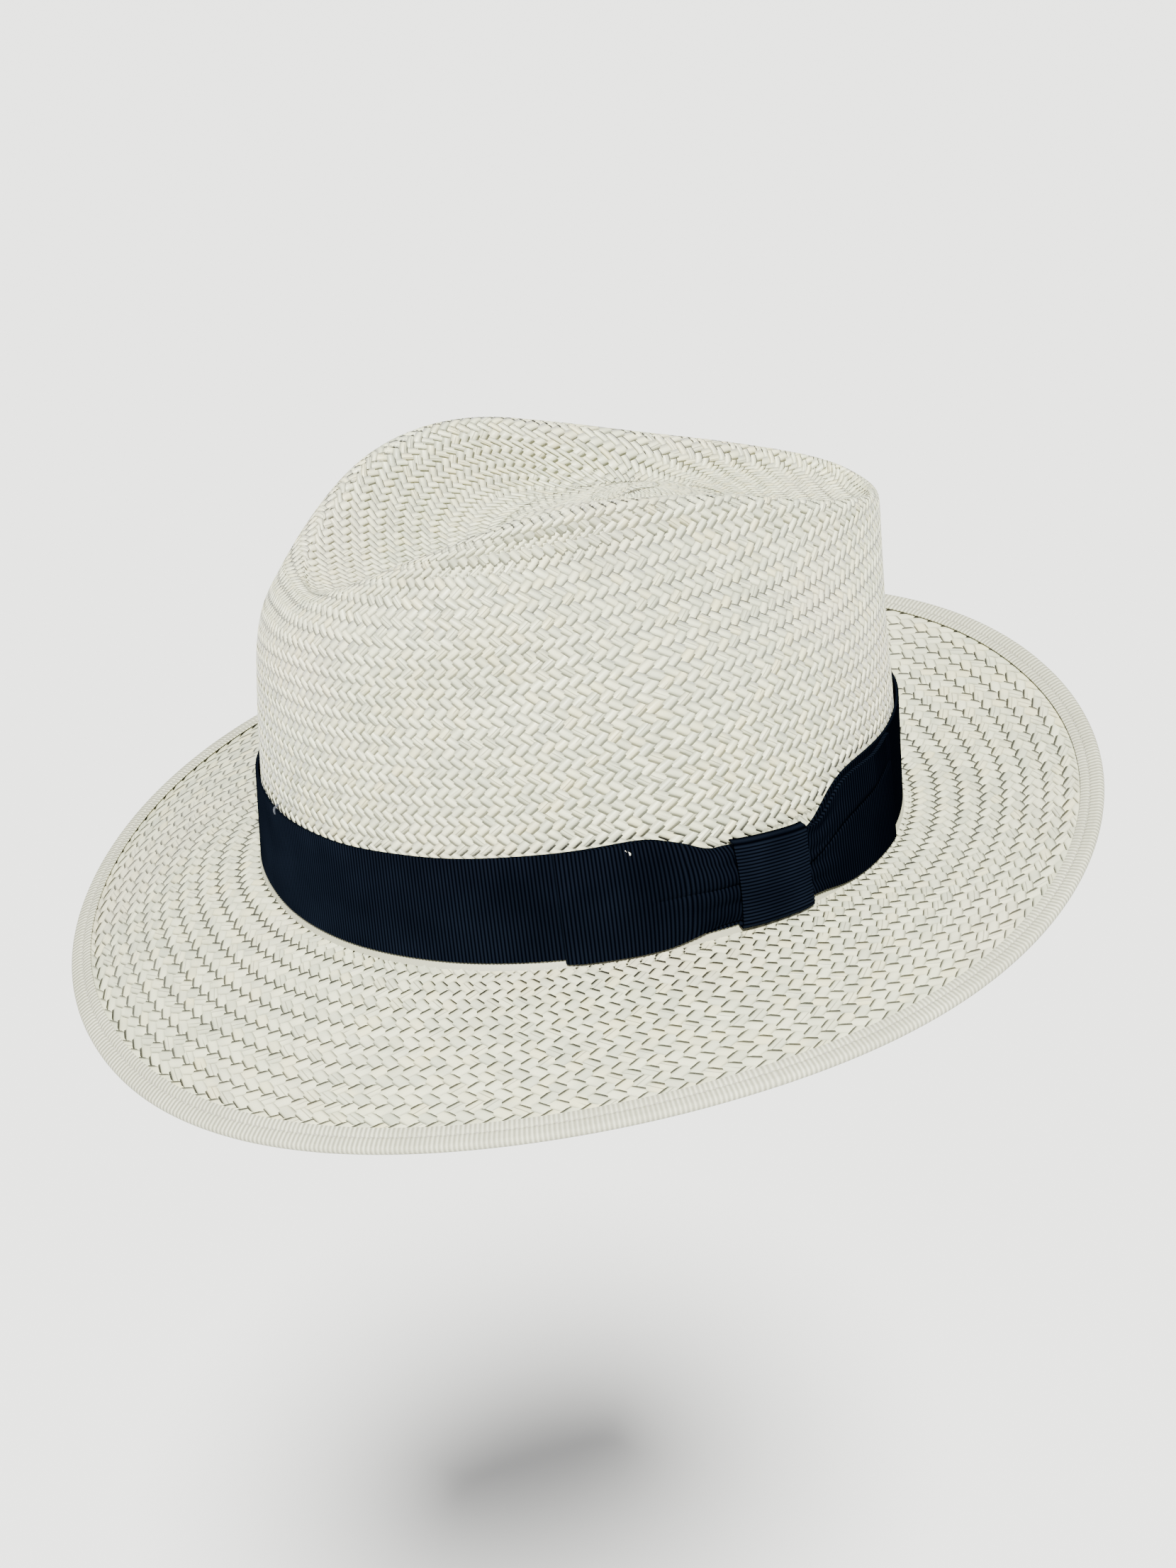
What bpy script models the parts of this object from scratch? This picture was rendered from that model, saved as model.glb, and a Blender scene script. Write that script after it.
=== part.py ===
"""Woven straw fedora with a ribbon band and flat bow.

Metres, +Z up.  The origin is the centre of the head opening, in the plane where
the crown meets the brim.  The front of the hat is -Y, the wearer's left is +X.
"""
import bmesh
import bpy
import math

# ---- driving dimensions -------------------------------------------------
HEAD_LENGTH = 0.2020        # outside of the crown at the head opening, front to back
HEAD_WIDTH = 0.1606         # the same, side to side
HEAD_PEAR = 0.0465          # how much wider the back half of the oval is
HEAD_SQUARE = 2.16          # exponent of the oval, 2 is an ellipse
STRAW = 0.0016              # thickness of the woven body
FILLET = 0.0026             # turn from the crown wall into the brim
BRIM_REACH = 0.0613         # level distance from the crown to the brim's edge
BRIM_FRONT_DROP = 0.0344    # how far the front edge is snapped down
BRIM_SIDE_DROP = 0.0099
BRIM_BACK_RISE = 0.0130     # how far the back edge is curled up
CREST_FRONT = (0.0850, 0.1024)   # crease ridge at the nose: forward, up
CREST_SIDE = (0.0306, 0.1248)    # at mid length: outward, up
CREST_BACK = (0.0990, 0.0946)    # at the back: backward, up
ISLAND = (0.020, 0.1122)    # raised middle of the crease: backward, up
BAND_LOW, BAND_HIGH = 0.0021, 0.0346
RIBBON = 0.0008             # thickness of the hat band
BINDING_WIDTH = 0.0054      # tape folded over the brim's edge
TAPE = 0.0006
SWEAT_LOW, SWEAT_HIGH = 0.0022, 0.0350
LEATHER = 0.0010
REED_R = 0.0009
THREAD_R = 0.00035
GAP = 0.0003                # play between touching pieces
AROUND = 60                 # segments round the oval
BOW_FRONT, BOW_BACK = 69.3, 140.5    # degrees round the oval, 0 front, 90 wearer's left
KNOT_AT, KNOT_WIDTH = 104.3, 14.0
KNOT_HEIGHT = 0.0233

# ---- start clean --------------------------------------------------------
for old in list(bpy.data.objects):
    bpy.data.objects.remove(old, do_unlink=True)
hat_parts = bpy.data.collections.new("fedora_hat")
bpy.context.scene.collection.children.link(hat_parts)
hat = bpy.data.objects.new("hat", None)
hat_parts.objects.link(hat)


def material(name, colour, roughness, metallic=0.0):
    mat = bpy.data.materials.new(name)
    mat.use_nodes = True
    bsdf = mat.node_tree.nodes["Principled BSDF"]
    bsdf.inputs["Base Color"].default_value = (*colour, 1.0)
    bsdf.inputs["Roughness"].default_value = roughness
    bsdf.inputs["Metallic"].default_value = metallic
    return mat


STRAW_MAT = material("bleached_straw", (0.80, 0.78, 0.70), 0.42)
NAVY_MAT = material("navy_grosgrain", (0.010, 0.013, 0.022), 0.65)
TAPE_MAT = material("white_grosgrain", (0.74, 0.72, 0.66), 0.70)
LEATHER_MAT = material("sweatband_leather", (0.62, 0.50, 0.36), 0.55)
REED_MAT = material("reed", (0.85, 0.83, 0.78), 0.40)
THREAD_MAT = material("white_thread", (0.82, 0.80, 0.74), 0.60)
NAVY_THREAD_MAT = material("navy_thread", (0.02, 0.025, 0.04), 0.60)
LABEL_MAT = material("paper_label", (0.86, 0.85, 0.80), 0.75)


# ---- the hat's surface --------------------------------------------------
def oval(a, front, back, side, pear=HEAD_PEAR, n=HEAD_SQUARE):
    """Point of an egg-shaped oval at angle a, 0 at the front and 90 degrees at the left."""
    s, c = math.sin(a), math.cos(a)
    x = side * math.copysign(abs(s) ** (2 / n), s) * (1 - pear * c)
    y = -(front if c > 0 else back) * math.copysign(abs(c) ** (2 / n), c)
    return x, y


def wave(a, front, side, back, third=0.0):
    """Value that runs front - side - back round the hat, the same on both sides."""
    mean = (front + 2 * side + back) / 4
    return (mean + (front - back) / 2 * math.cos(a) + (front + back - 2 * side) / 4 * math.cos(2 * a)
            + third * (math.cos(3 * a) - math.cos(a)))


def crest(a):
    """The crease's ridge: narrow, highest at mid length."""
    s, c = math.sin(a), math.cos(a)
    x = CREST_SIDE[0] * s * (1.11 + 0.05 * c + 0.11 * math.cos(2 * a) - 0.20 * math.cos(3 * a))
    y = -(CREST_FRONT[0] if c > 0 else CREST_BACK[0]) * c
    return x, y, wave(a, CREST_FRONT[1], CREST_SIDE[1], CREST_BACK[1], -0.0036)


def beside(a, front, side, back):
    """Plan position beside the ridge, so far outside it at the front, side and back."""
    s, c = math.sin(a), math.cos(a)
    x, y, _ = crest(a)
    return x + side * s, y - (front if c > 0 else back) * c


def crown_rings(a):
    """Points up the wall, over the ridge and down to the middle of the crease."""
    half, side = HEAD_LENGTH / 2, HEAD_WIDTH / 2
    cx, cy, cz = crest(a)
    rings = []
    for z, lean in ((BAND_LOW, 0.0008), ((BAND_LOW + BAND_HIGH) / 2, 0.0048), (BAND_HIGH, 0.0088)):
        x, y = oval(a, half - 0.0004, half - 0.0004, side - lean)
        rings.append((x, y, z))
    for part, front, back, wide in ((0.30, 0.1004, 0.1004, 0.0646), (0.52, 0.1003, 0.1010, 0.0556)):
        x, y = oval(a, front, back, wide, HEAD_PEAR * (1 - part))
        rings.append((x, y, BAND_HIGH + (cz - BAND_HIGH) * part))
    for part, front, side, back in ((0.70, 0.0154, 0.0138, 0.0028), (0.85, 0.0136, 0.0050, 0.0032),
                                    (0.965, 0.0074, 0.0030, 0.0026)):
        x, y = beside(a, front, side, back)
        rings.append((x, y, BAND_HIGH + (cz - BAND_HIGH) * part))
    rings.append((cx, cy, cz))
    x, y = beside(a, -0.0050, -0.0052, -0.0050)
    rings.append((x, y, cz - 0.0036))
    back, top = ISLAND
    for part, front_z, side_z, back_z in ((0.36, 0.0905, 0.1085, 0.0915), (0.60, 0.0970, 0.1062, 0.0985),
                                          (0.80, 0.1078, 0.1105, 0.1076), (0.92, 0.1109, 0.1117, 0.1109)):
        rings.append((cx * (1 - part), cy * (1 - part) + back * part, wave(a, front_z, side_z, back_z)))
    rings.append((0.0, back, top))
    return rings


def brim_point(a, t):
    """t runs 0 at the crown to 1 at the brim's edge."""
    half, side = HEAD_LENGTH / 2, HEAD_WIDTH / 2
    x, y = oval(a, half, half, side)
    x1, y1 = oval(a + 0.002, half, half, side)
    x0, y0 = oval(a - 0.002, half, half, side)
    length = math.hypot(x1 - x0, y1 - y0)
    nx, ny = (y1 - y0) / length, -(x1 - x0) / length
    edge = wave(a, -BRIM_FRONT_DROP, -BRIM_SIDE_DROP, BRIM_BACK_RISE, -0.0032)
    reach = FILLET + (BRIM_REACH - FILLET) * t
    curl = 1.55 - 0.25 * math.cos(a)
    return x + nx * reach, y + ny * reach, edge * t ** curl


def catmull(p, t):
    return [0.5 * (2 * b + (c - a) * t + (2 * a - 5 * b + 4 * c - d) * t * t + (3 * b - a - 3 * c + d) * t ** 3)
            for a, b, c, d in zip(*p)]


def wall_points(a, steps):
    """Crown section at angle a, from the band's lower edge to the middle of the crease."""
    keys = crown_rings(a)
    keys = [keys[0]] + keys + [keys[-1]]
    points = []
    for i in range(len(keys) - 3):
        for j in range(steps[i]):
            points.append(catmull(keys[i:i + 4], j / steps[i]))
    points.append(list(keys[-1]))
    return points


def shifted(a, z_part, out):
    """Point on the band zone of the wall, moved outward by out; z_part 0 low to 1 high."""
    def at(angle):
        keys = crown_rings(angle)
        low, high = (keys[0], keys[1]) if z_part < 0.5 else (keys[1], keys[2])
        k = z_part * 2 if z_part < 0.5 else z_part * 2 - 1
        return [p + (q - p) * k for p, q in zip(low, high)]
    x, y, z = at(a)
    x1, y1, _ = at(a + 0.004)
    x0, y0, _ = at(a - 0.004)
    length = math.hypot(x1 - x0, y1 - y0)
    return x + (y1 - y0) / length * out, y - (x1 - x0) / length * out, z


def angles(count=AROUND, start=0.0, stop=360.0, closed=True):
    steps = count if closed else count - 1
    return [math.radians(start + (stop - start) * i / steps) for i in range(count)]


# ---- builders -----------------------------------------------------------
def mesh_object(name, verts, faces, mat, smooth=True):
    mesh = bpy.data.meshes.new(name)
    mesh.from_pydata(verts, [], faces)
    mesh.update()
    obj = bpy.data.objects.new(name, mesh)
    obj.data.materials.append(mat)
    if smooth:
        mesh.shade_smooth()
    hat_parts.objects.link(obj)
    obj.parent = hat
    return obj


def loft(name, rings, mat, closed=True, around_closed=False, ends=None):
    """Skin between rings of equal length.  closed joins each ring's ends,
    around_closed joins the last ring to the first, ends caps open runs."""
    count, width = len(rings), len(rings[0])
    verts = [p for ring in rings for p in ring]
    faces = []
    for i in range(count if around_closed else count - 1):
        k = (i + 1) % count
        for j in range(width if closed else width - 1):
            m = (j + 1) % width
            faces.append((i * width + j, k * width + j, k * width + m, i * width + m))
    if ends:
        faces.append(tuple(range(width - 1, -1, -1)))
        faces.append(tuple((count - 1) * width + j for j in range(width)))
    obj = mesh_object(name, verts, faces, mat)
    if closed:
        shell = bmesh.new()
        shell.from_mesh(obj.data)
        bmesh.ops.recalc_face_normals(shell, faces=shell.faces[:])
        shell.to_mesh(obj.data)
        shell.free()
    return obj


def solidify(obj, thickness, offset):
    mod = obj.modifiers.new("thickness", 'SOLIDIFY')
    mod.thickness = thickness
    mod.offset = offset
    mod.use_even_offset = True
    mod.use_quality_normals = True
    return obj


def cord(name, points, radius, mat, cyclic=False):
    curve = bpy.data.curves.new(name, 'CURVE')
    curve.dimensions = '3D'
    curve.bevel_depth = radius
    curve.bevel_resolution = 1 if cyclic else 2
    curve.use_fill_caps = not cyclic
    line = curve.splines.new('POLY')
    line.points.add(len(points) - 1)
    for point, p in zip(line.points, points):
        point.co = (*p, 1.0)
    line.use_cyclic_u = cyclic
    curve.materials.append(mat)
    obj = bpy.data.objects.new(name, curve)
    hat_parts.objects.link(obj)
    obj.parent = hat
    return obj


# ---- straw_body: crown and brim in one woven piece -------------------------
wall_steps = (1, 1, 2, 1, 1, 1, 1, 1, 1, 2, 1, 1, 1, 1)
brim_steps = (1.0, 0.82, 0.62, 0.42, 0.24, 0.10, 0.0)
columns = []
for a in angles():
    column = [brim_point(a, t) for t in brim_steps]
    x, y, z = shifted(a, 0.0, 0.0007)
    column.append((x, y, 0.0006))
    column += [tuple(p) for p in wall_points(a, wall_steps)[:-1]]
    columns.append(column)
rows = len(columns[0])
verts = [p for column in columns for p in column] + [(0.0, ISLAND[0], ISLAND[1])]
faces = []
for i in range(AROUND):
    k = (i + 1) % AROUND
    for j in range(rows - 1):
        faces.append((i * rows + j, k * rows + j, k * rows + j + 1, i * rows + j + 1))
    faces.append((i * rows + rows - 1, k * rows + rows - 1, AROUND * rows))
straw_body = mesh_object("straw_body", verts, faces, STRAW_MAT)
solidify(straw_body, STRAW, -1.0)


# ---- brim_binding: tape folded over the brim's edge ---------------------------
def edge_frame(a):
    """Edge point, direction outward along the brim, and the brim's upward normal there."""
    p1, p0 = brim_point(a, 1.0), brim_point(a, 0.90)
    out = [q - r for q, r in zip(p1, p0)]
    length = math.sqrt(sum(v * v for v in out))
    out = [v / length for v in out]
    q1, q0 = brim_point(a + 0.01, 1.0), brim_point(a - 0.01, 1.0)
    along = [q - r for q, r in zip(q1, q0)]
    up = [out[1] * along[2] - out[2] * along[1], out[2] * along[0] - out[0] * along[2],
          out[0] * along[1] - out[1] * along[0]]
    length = math.sqrt(sum(v * v for v in up)) * (1 if up[2] > 0 else -1)
    return p1, out, [v / length for v in up]


def edge_point(a, outward, upward):
    """Point beside the brim's edge; inward runs follow the brim's own curve."""
    p, out, up = edge_frame(a)
    if outward < 0:
        p = brim_point(a, 1 + outward / (BRIM_REACH - FILLET))
        outward = 0
    return tuple(p[i] + out[i] * outward + up[i] * upward for i in range(3))


gap = GAP + 0.0001
inner_top, outer_top = gap, gap + TAPE
inner_low, outer_low = -STRAW - gap, -STRAW - gap - TAPE
section = ((-BINDING_WIDTH, inner_top), (-BINDING_WIDTH / 2, inner_top), (0.0, inner_top + 0.0001),
           (gap + 0.0001, -0.0003), (gap + 0.0001, -STRAW + 0.0003), (0.0, inner_low - 0.0001),
           (-BINDING_WIDTH / 2, inner_low), (-BINDING_WIDTH, inner_low), (-BINDING_WIDTH, outer_low),
           (-BINDING_WIDTH / 2, outer_low), (0.0, outer_low - 0.0001), (gap + TAPE, -STRAW + 0.0002),
           (gap + TAPE, -0.0002), (0.0, outer_top + 0.0001), (-BINDING_WIDTH / 2, outer_top),
           (-BINDING_WIDTH, outer_top))
loft("brim_binding", [[edge_point(a, o, u) for o, u in section] for a in angles()], TAPE_MAT,
     closed=True, around_closed=True)

stitch_in = -BINDING_WIDTH * 0.46
cord("brim_stitch_top", [edge_point(a, stitch_in, outer_top + THREAD_R + GAP) for a in angles()],
     THREAD_R, THREAD_MAT, cyclic=True)
cord("brim_stitch_under", [edge_point(a, stitch_in, outer_low - THREAD_R - GAP) for a in angles()],
     THREAD_R, THREAD_MAT, cyclic=True)

# ---- how the band and bow are gathered at the knot ---------------------------------
def gathered(degrees, spread=6.5):
    """1 under the knot, falling away to 0 on both sides of it."""
    beyond = max(abs(degrees - KNOT_AT) - KNOT_WIDTH / 2 - 0.8, 0.0)
    return math.exp(-(beyond / spread) ** 2)


def knot_parts(degrees):
    """Lower and upper edge of the knot's inside, as parts of the band's height; it sits low and tilts."""
    k = (degrees - KNOT_AT) / KNOT_WIDTH
    return 0.03 - 0.03 * k, 0.745 - 0.070 * k


def band_top(degrees):
    """Upper edge of the band as a part of its height: drawn down under the knot."""
    return 1.0 - gathered(degrees) * (1.0 - knot_parts(KNOT_AT)[1] + 0.05)


# ---- hat_band: grosgrain ribbon round the crown --------------------------------
band = loft("hat_band", [[shifted(a, k * band_top(math.degrees(a)), GAP) for k in (0.0, 0.5, 1.0)] for a in angles(120)],
            NAVY_MAT, closed=False, around_closed=True)
solidify(band, RIBBON, 1.0)


# ---- bow_ribbon: one folded ribbon, gathered under the knot ----------------------
def bow_point(degrees, k, out):
    """k runs -1 to 1 over the ribbon's height."""
    near = max(-1.0, min(1.0, (degrees - KNOT_AT) / KNOT_WIDTH * 2)) * KNOT_WIDTH / 2 + KNOT_AT
    low, high = knot_parts(near)
    g = gathered(degrees)
    low = -0.030 + (low + 0.012 + 0.030) * g
    high = 1.012 + (high - 0.012 - 1.012) * g
    return shifted(math.radians(degrees), low + (high - low) * (0.5 + 0.5 * k), out)


bow_base = GAP + RIBBON + GAP + 0.0002
bow_spans = [BOW_FRONT + (BOW_BACK - BOW_FRONT) * i / 24 for i in range(25)]
rings = []
for degrees in bow_spans:
    thick = 2 * RIBBON + 0.0007 * gathered(degrees, 5.0)
    rings.append([bow_point(degrees, k, bow_base) for k in (-1.0, -0.5, 0.0, 0.5, 1.0)]
                 + [bow_point(degrees, k, bow_base + thick) for k in (1.0, 0.5, 0.0, -0.5, -1.0)])
loft("bow_ribbon", rings, NAVY_MAT, closed=True, ends=True)

# ---- bow_knot: short ribbon wrapped over the gather ------------------------------
knot_half = KNOT_WIDTH / 2
knot_out = bow_base + 2 * RIBBON + 0.0007 + GAP + 0.0002
k_out = 1 + 2 * RIBBON / KNOT_HEIGHT
knot_section = ((-1.0, bow_base + 0.0001), (-1.0, knot_out - 0.0004), (-0.92, knot_out),
                (0.0, knot_out + 0.0002), (0.92, knot_out), (1.0, knot_out - 0.0004),
                (1.0, bow_base + 0.0001), (k_out, bow_base + 0.0001), (k_out, knot_out + 0.0001),
                (0.94, knot_out + RIBBON + 0.0002), (0.0, knot_out + RIBBON + 0.0004),
                (-0.94, knot_out + RIBBON + 0.0002), (-k_out, knot_out + 0.0001),
                (-k_out, bow_base + 0.0001))
rings = []
for i in range(7):
    degrees = KNOT_AT - knot_half + KNOT_WIDTH * i / 6
    low, high = knot_parts(degrees)
    rings.append([shifted(math.radians(degrees), low + (high - low) * (0.5 + 0.5 * k), out) for k, out in knot_section])
loft("bow_knot", rings, NAVY_MAT, closed=True, ends=True)

# ---- band tacks: thread that holds the band's upper edge to the straw ------------
TACKS = {"left": 81.5, "front": 4.0, "right": 270.0, "back": 184.0}
for where, degrees in TACKS.items():
    a = math.radians(degrees)
    outer = GAP + RIBBON + GAP + THREAD_R
    if where == "left":
        outer = bow_base + 2 * RIBBON + GAP + THREAD_R + 0.0001
    low = shifted(a, 0.955, outer)
    high = shifted(a, 1.0, outer)
    over = (high[0], high[1], high[2] + GAP + THREAD_R + 0.0006)
    x, y, z = wall_points(a, wall_steps)[2]
    nx, ny = math.sin(a), -math.cos(a)
    end = (x + nx * 0.0007, y + ny * 0.0007, z + 0.0014)
    cord("band_tack_" + where, [low, high, over, end], THREAD_R, THREAD_MAT if where == "left" else NAVY_THREAD_MAT)

# ---- sweatband: leather strip inside the head opening ----------------------------
sweat_parts = [(z - BAND_LOW) / (BAND_HIGH - BAND_LOW) for z in (SWEAT_LOW, (SWEAT_LOW + SWEAT_HIGH) / 2, SWEAT_HIGH)]
sweat_out = -STRAW - GAP - 0.0003
sweatband = loft("sweatband", [[shifted(a, k, sweat_out - 0.0006 * max(k, 0.0)) for k in sweat_parts]
                               for a in angles()], LEATHER_MAT, closed=False, around_closed=True)
solidify(sweatband, LEATHER, -1.0)

reed_z = SWEAT_LOW - GAP - REED_R
cord("sweatband_reed", [(*shifted(a, 0.0, sweat_out - LEATHER / 2)[:2], reed_z) for a in angles()],
     REED_R, REED_MAT, cyclic=True)
stitch_part = (SWEAT_LOW + 0.0030 - BAND_LOW) / (BAND_HIGH - BAND_LOW)
sweat_in = sweat_out - LEATHER - GAP - THREAD_R - 0.0002
cord("sweatband_stitch", [shifted(a, stitch_part, sweat_in) for a in angles()], THREAD_R, THREAD_MAT, cyclic=True)


def patch(name, middle, width, low, high, thickness, mat):
    """Flat strip laid on the inside of the sweatband."""
    rings = []
    for degrees in [middle - width / 2 + width * i / 4 for i in range(5)]:
        a = math.radians(degrees)
        out = sweat_out - LEATHER - GAP - 0.0009
        rings.append([shifted(a, low, out), shifted(a, high, out), shifted(a, high, out - thickness),
                      shifted(a, low, out - thickness)])
    return loft(name, rings, mat, closed=True, ends=True)


patch("sweatband_joint_tape", 180.0, 7.0, 0.14, 0.97, 0.0006, NAVY_MAT)
patch("size_label", 199.0, 11.0, 0.26, 0.72, 0.0003, LABEL_MAT)
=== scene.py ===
import math

import bpy
import numpy as np
from mathutils import Matrix, Vector


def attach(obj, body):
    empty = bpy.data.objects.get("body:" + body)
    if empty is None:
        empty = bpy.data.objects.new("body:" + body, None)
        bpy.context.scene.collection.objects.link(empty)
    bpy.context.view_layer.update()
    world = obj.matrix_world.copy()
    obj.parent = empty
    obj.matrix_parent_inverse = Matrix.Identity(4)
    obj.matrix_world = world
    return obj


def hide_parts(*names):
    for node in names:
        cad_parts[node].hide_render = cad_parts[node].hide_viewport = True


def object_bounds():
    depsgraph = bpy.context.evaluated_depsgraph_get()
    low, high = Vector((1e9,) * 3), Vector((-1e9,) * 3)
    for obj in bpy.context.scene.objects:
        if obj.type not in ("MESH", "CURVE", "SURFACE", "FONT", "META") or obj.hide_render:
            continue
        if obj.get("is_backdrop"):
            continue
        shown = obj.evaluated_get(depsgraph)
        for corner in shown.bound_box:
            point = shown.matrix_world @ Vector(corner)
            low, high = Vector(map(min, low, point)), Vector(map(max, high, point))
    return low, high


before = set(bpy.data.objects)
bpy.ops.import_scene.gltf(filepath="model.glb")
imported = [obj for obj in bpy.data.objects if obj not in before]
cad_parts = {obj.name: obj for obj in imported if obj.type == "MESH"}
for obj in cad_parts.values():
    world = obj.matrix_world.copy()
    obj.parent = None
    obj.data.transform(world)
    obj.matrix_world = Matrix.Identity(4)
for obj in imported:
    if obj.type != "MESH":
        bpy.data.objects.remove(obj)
cadLow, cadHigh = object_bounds()
print("packed hat loaded")

# the hat's own surface: metres, front is -Y, the wearer's left is +X
hatShape = {
    "headHalf": 0.1010, "headSide": 0.0803, "pear": 0.0465, "square": 2.16,
    "fillet": 0.0026, "brimReach": 0.0613,
    "frontDrop": 0.0344, "sideDrop": 0.0099, "backRise": 0.0130,
    "crestFront": (0.0850, 0.1024), "crestSide": (0.0306, 0.1248), "crestBack": (0.0990, 0.0946),
    "island": (0.020, 0.1122),
    "bandLow": 0.0021, "bandHigh": 0.0346,
    "pinchDepth": 0.0028,       # furrow left by fingers under the front of the ridge
    "handWobble": 0.00045,      # unevenness of a hand-blocked hat
}
around = 360


def oval(a, front, back, side, pear=hatShape["pear"], n=hatShape["square"]):
    s, c = np.sin(a), np.cos(a)
    x = side * np.sign(s) * np.abs(s) ** (2 / n) * (1 - pear * c)
    y = -np.where(c > 0, front, back) * np.sign(c) * np.abs(c) ** (2 / n)
    return x, y


def frontSideBack(a, front, side, back, third=0.0):
    mean = (front + 2 * side + back) / 4
    return (mean + (front - back) / 2 * np.cos(a) + (front + back - 2 * side) / 4 * np.cos(2 * a)
            + third * (np.cos(3 * a) - np.cos(a)))


def ridgeLine(a):
    s, c = np.sin(a), np.cos(a)
    x = hatShape["crestSide"][0] * s * (1.11 + 0.05 * c + 0.11 * np.cos(2 * a) - 0.20 * np.cos(3 * a))
    y = -np.where(c > 0, hatShape["crestFront"][0], hatShape["crestBack"][0]) * c
    z = frontSideBack(a, hatShape["crestFront"][1], hatShape["crestSide"][1], hatShape["crestBack"][1],
                      -0.0036)
    return x, y, z


def beside(a, front, side, back):
    s, c = np.sin(a), np.cos(a)
    x, y, _ = ridgeLine(a)
    return x + side * s, y - np.where(c > 0, front, back) * c


def crownRings(a):
    half, side = hatShape["headHalf"], hatShape["headSide"]
    low, high = hatShape["bandLow"], hatShape["bandHigh"]
    cx, cy, cz = ridgeLine(a)
    rings = []
    for z, lean in ((low, 0.0008), ((low + high) / 2, 0.0048), (high, 0.0088)):
        x, y = oval(a, half - 0.0004, half - 0.0004, side - lean)
        rings.append((x, y, np.full_like(a, z)))
    for part, front, back, wide in ((0.30, 0.1004, 0.1004, 0.0646), (0.52, 0.1003, 0.1010, 0.0556)):
        x, y = oval(a, front, back, wide, hatShape["pear"] * (1 - part))
        rings.append((x, y, high + (cz - high) * part))
    for part, front, sideOut, back in ((0.70, 0.0154, 0.0138, 0.0028), (0.85, 0.0136, 0.0050, 0.0032),
                                       (0.965, 0.0074, 0.0030, 0.0026)):
        x, y = beside(a, front, sideOut, back)
        rings.append((x, y, high + (cz - high) * part))
    rings.append((cx, cy, cz))
    x, y = beside(a, -0.0050, -0.0052, -0.0050)
    rings.append((x, y, cz - 0.0036))
    back, top = hatShape["island"]
    for part, frontZ, sideZ, backZ in ((0.36, 0.0905, 0.1085, 0.0915), (0.60, 0.0970, 0.1062, 0.0985),
                                       (0.80, 0.1078, 0.1105, 0.1076), (0.92, 0.1109, 0.1117, 0.1109)):
        rings.append((cx * (1 - part), cy * (1 - part) + back * part, frontSideBack(a, frontZ, sideZ, backZ)))
    rings.append((np.zeros_like(a), np.full_like(a, back), np.full_like(a, top)))
    return np.array([np.stack(r, -1) for r in rings])


def brimPoint(a, t):
    half, side = hatShape["headHalf"], hatShape["headSide"]
    x, y = oval(a, half, half, side)
    x1, y1 = oval(a + 0.002, half, half, side)
    x0, y0 = oval(a - 0.002, half, half, side)
    length = np.hypot(x1 - x0, y1 - y0)
    nx, ny = (y1 - y0) / length, -(x1 - x0) / length
    edge = frontSideBack(a, -hatShape["frontDrop"], -hatShape["sideDrop"], hatShape["backRise"], -0.0032)
    reach = hatShape["fillet"] + (hatShape["brimReach"] - hatShape["fillet"]) * t
    return np.stack([x + nx * reach, y + ny * reach, edge * t ** (1.55 - 0.25 * np.cos(a))], -1)


def throughRings(keys, steps):
    keys = np.concatenate([keys[:1], keys, keys[-1:]])
    rows = []
    for i in range(len(keys) - 3):
        p, q, r, s = keys[i:i + 4]
        for t in np.arange(steps) / steps:
            rows.append(0.5 * (2 * q + (r - p) * t + (2 * p - 5 * q + 4 * r - s) * t * t
                               + (3 * q - p - 3 * r + s) * t ** 3))
    rows.append(keys[-2])
    return np.array(rows)


def outwardOf(grid, wraps=True):
    down = np.gradient(grid, axis=0)
    if wraps:
        ring = grid[:, :-1]
        along = np.roll(ring, -1, 1) - np.roll(ring, 1, 1)
        along = np.concatenate([along, along[:, :1]], 1)
    else:
        along = np.gradient(grid, axis=1)
    normal = np.cross(along, down)
    size = np.linalg.norm(normal, axis=-1, keepdims=True)
    return normal / np.maximum(size, 1e-12)


# a grid of points [row, column] made into a mesh that carries its own UV map and outward directions
def guideSheet(name, grid, v, wraps=True):
    rows, columns = grid.shape[:2]
    mesh = bpy.data.meshes.new(name)
    index = np.arange(rows * columns).reshape(rows, columns)
    faces = np.stack([index[:-1, :-1], index[:-1, 1:], index[1:, 1:], index[1:, :-1]], -1).reshape(-1, 4)
    mesh.from_pydata(grid.reshape(-1, 3).tolist(), [], faces.tolist())
    uv = np.stack([np.broadcast_to(np.linspace(0, 1, columns), (rows, columns)), v], -1).reshape(-1, 2)
    layer = mesh.uv_layers.new(name="lay")
    layer.data.foreach_set("uv", uv[faces.reshape(-1)].astype(np.float32).reshape(-1))
    outward = mesh.attributes.new("outward", 'FLOAT_VECTOR', 'POINT')
    outward.data.foreach_set("vector", outwardOf(grid, wraps).astype(np.float32).reshape(-1))
    sheet = bpy.data.objects.new(name, mesh)
    bpy.context.scene.collection.objects.link(sheet)
    return sheet


# node helpers
def newTree(name, sockets, kind='GeometryNodeTree'):
    tree = bpy.data.node_groups.new(name, kind)
    for label, socketType, direction, value in sockets:
        socket = tree.interface.new_socket(label, in_out=direction, socket_type=socketType)
        if value is not None:
            socket.default_value = value
    return tree, tree.nodes.new('NodeGroupInput'), tree.nodes.new('NodeGroupOutput')


def place(tree, kind, links=None, **settings):
    made = tree.nodes.new(kind)
    for key, value in settings.items():
        setattr(made, key, value)
    for key, value in (links or {}).items():
        socket = made.inputs[key]
        if isinstance(value, bpy.types.NodeSocket):
            tree.links.new(value, socket)
        else:
            socket.default_value = value
    return made


def calc(tree, operation, *values):
    return place(tree, 'ShaderNodeMath', dict(enumerate(values)), operation=operation).outputs[0]


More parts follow.
